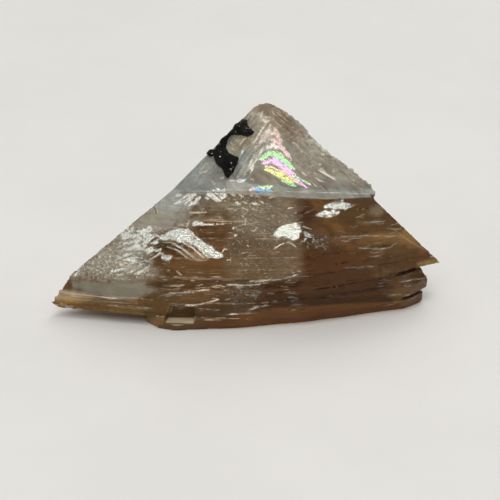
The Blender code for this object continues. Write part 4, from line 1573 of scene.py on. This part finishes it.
@dataclass
class Studio:
    """The floor, the soft light and the camera. Lengths are in metres, but the lens is in millimetres."""

    aim: Triple = (0.5 * MM, 0.0, 8.1 * MM)
    distance: float = 0.6
    lens: float = 304.6
    floor_side: float = 6.0
    floor_dull: Colour = linear(219, 216, 210)
    floor_pale: Colour = linear(224, 221, 216)
    floor_rough: float = 0.65
    horizon: float = 0.2
    lean: float = 0.75
    sky: float = 0.6
    sky_tint: Colour = (0.98, 1.0, 1.02)
    sky_start: float = 0.8
    lamps: tuple[Lamp, ...] = (
        Lamp("key", (0.25, 0.5, 0.75), 0.6, 2.2, (1.0, 0.98, 0.95)),
        Lamp("front_fill", (-0.12, -0.75, 0.9), 0.6, 4.0),
        Lamp("top", (0.0, -0.1, 0.9), 0.4, 1.6),
    )

    def build(self) -> None:
        """Makes the whole studio."""
        self.floor()
        for lamp in self.lamps:
            self.light(lamp)
        self.world()
        self.camera()
        bpy.context.scene.view_settings.view_transform = "Standard"

    def floor(self) -> None:
        """Lays the pale floor."""
        made = bmesh.new()
        bmesh.ops.create_grid(made, x_segments=8, y_segments=8, size=self.floor_side / 2)
        floor = placed("floor", mesh_of(made, "floor"))
        graph = Graph("pale_floor")
        shade = graph.remap(graph.noise((0.02, 0.02, 0.02), 4.0), 0.3, 0.7, 0.0, 1.0)
        graph.feed("Base Color", graph.mix(shade, (*self.floor_dull, 1), (*self.floor_pale, 1)))
        graph.shader.inputs["Roughness"].default_value = self.floor_rough
        floor.data.materials.append(graph.material)

    def light(self, lamp: Lamp) -> None:
        """Hangs one lamp.

        Args:
            lamp: the lamp.
        """
        data = bpy.data.lights.new(lamp.name, "AREA")
        data.shape = "SQUARE"
        data.size = lamp.size
        data.energy = lamp.power
        data.color = lamp.tint
        made = placed(lamp.name, data)
        made.location = lamp.place
        made.rotation_euler = (Vector(self.aim) - Vector(lamp.place)).to_track_quat("-Z", "Y").to_euler()

    def world(self) -> None:
        """Surrounds the crystal with light that is bright overhead and behind, and dark low in front."""
        world = bpy.data.worlds.new("studio")
        world.use_nodes = True
        tree = world.node_tree
        place = tree.nodes.new("ShaderNodeTexCoord")
        split = tree.nodes.new("ShaderNodeSeparateXYZ")
        lean = tree.nodes.new("ShaderNodeMath")
        lean.operation = "MULTIPLY_ADD"
        lean.inputs[1].default_value = self.lean
        bands = tree.nodes.new("ShaderNodeValToRGB")
        tree.links.new(place.outputs["Generated"], split.inputs[0])
        tree.links.new(split.outputs["Y"], lean.inputs[0])
        tree.links.new(split.outputs["Z"], lean.inputs[2])
        tree.links.new(lean.outputs[0], bands.inputs["Fac"])
        tree.links.new(bands.outputs["Color"], tree.nodes["Background"].inputs["Color"])
        low, high = bands.color_ramp.elements
        low.color = (self.horizon, self.horizon, self.horizon, 1)
        high.color = (*(self.sky * share for share in self.sky_tint), 1)
        high.position = self.sky_start
        bpy.context.scene.world = world

    def camera(self) -> None:
        """Sets the camera VIEW_TILT above the horizon, in front."""
        data = bpy.data.cameras.new("camera")
        data.lens = self.lens
        made = placed("camera", data)
        back = Vector((0.0, -math.cos(VIEW_TILT), math.sin(VIEW_TILT)))
        made.location = Vector(self.aim) + back * self.distance
        made.rotation_euler = (-back).to_track_quat("-Z", "Y").to_euler()
        bpy.context.scene.camera = made


def main() -> None:
    """Builds the pieces and the studio in order."""
    logging.basicConfig(level=logging.INFO, format="%(message)s")
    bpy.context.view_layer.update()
    for maker in (CrystalSkin(), BlackCrust()):
        piece = maker.build()
        log.info("%s: %d faces", piece.name, len(piece.data.polygons))
    Studio().build()


if __name__ == "__main__":
    main()
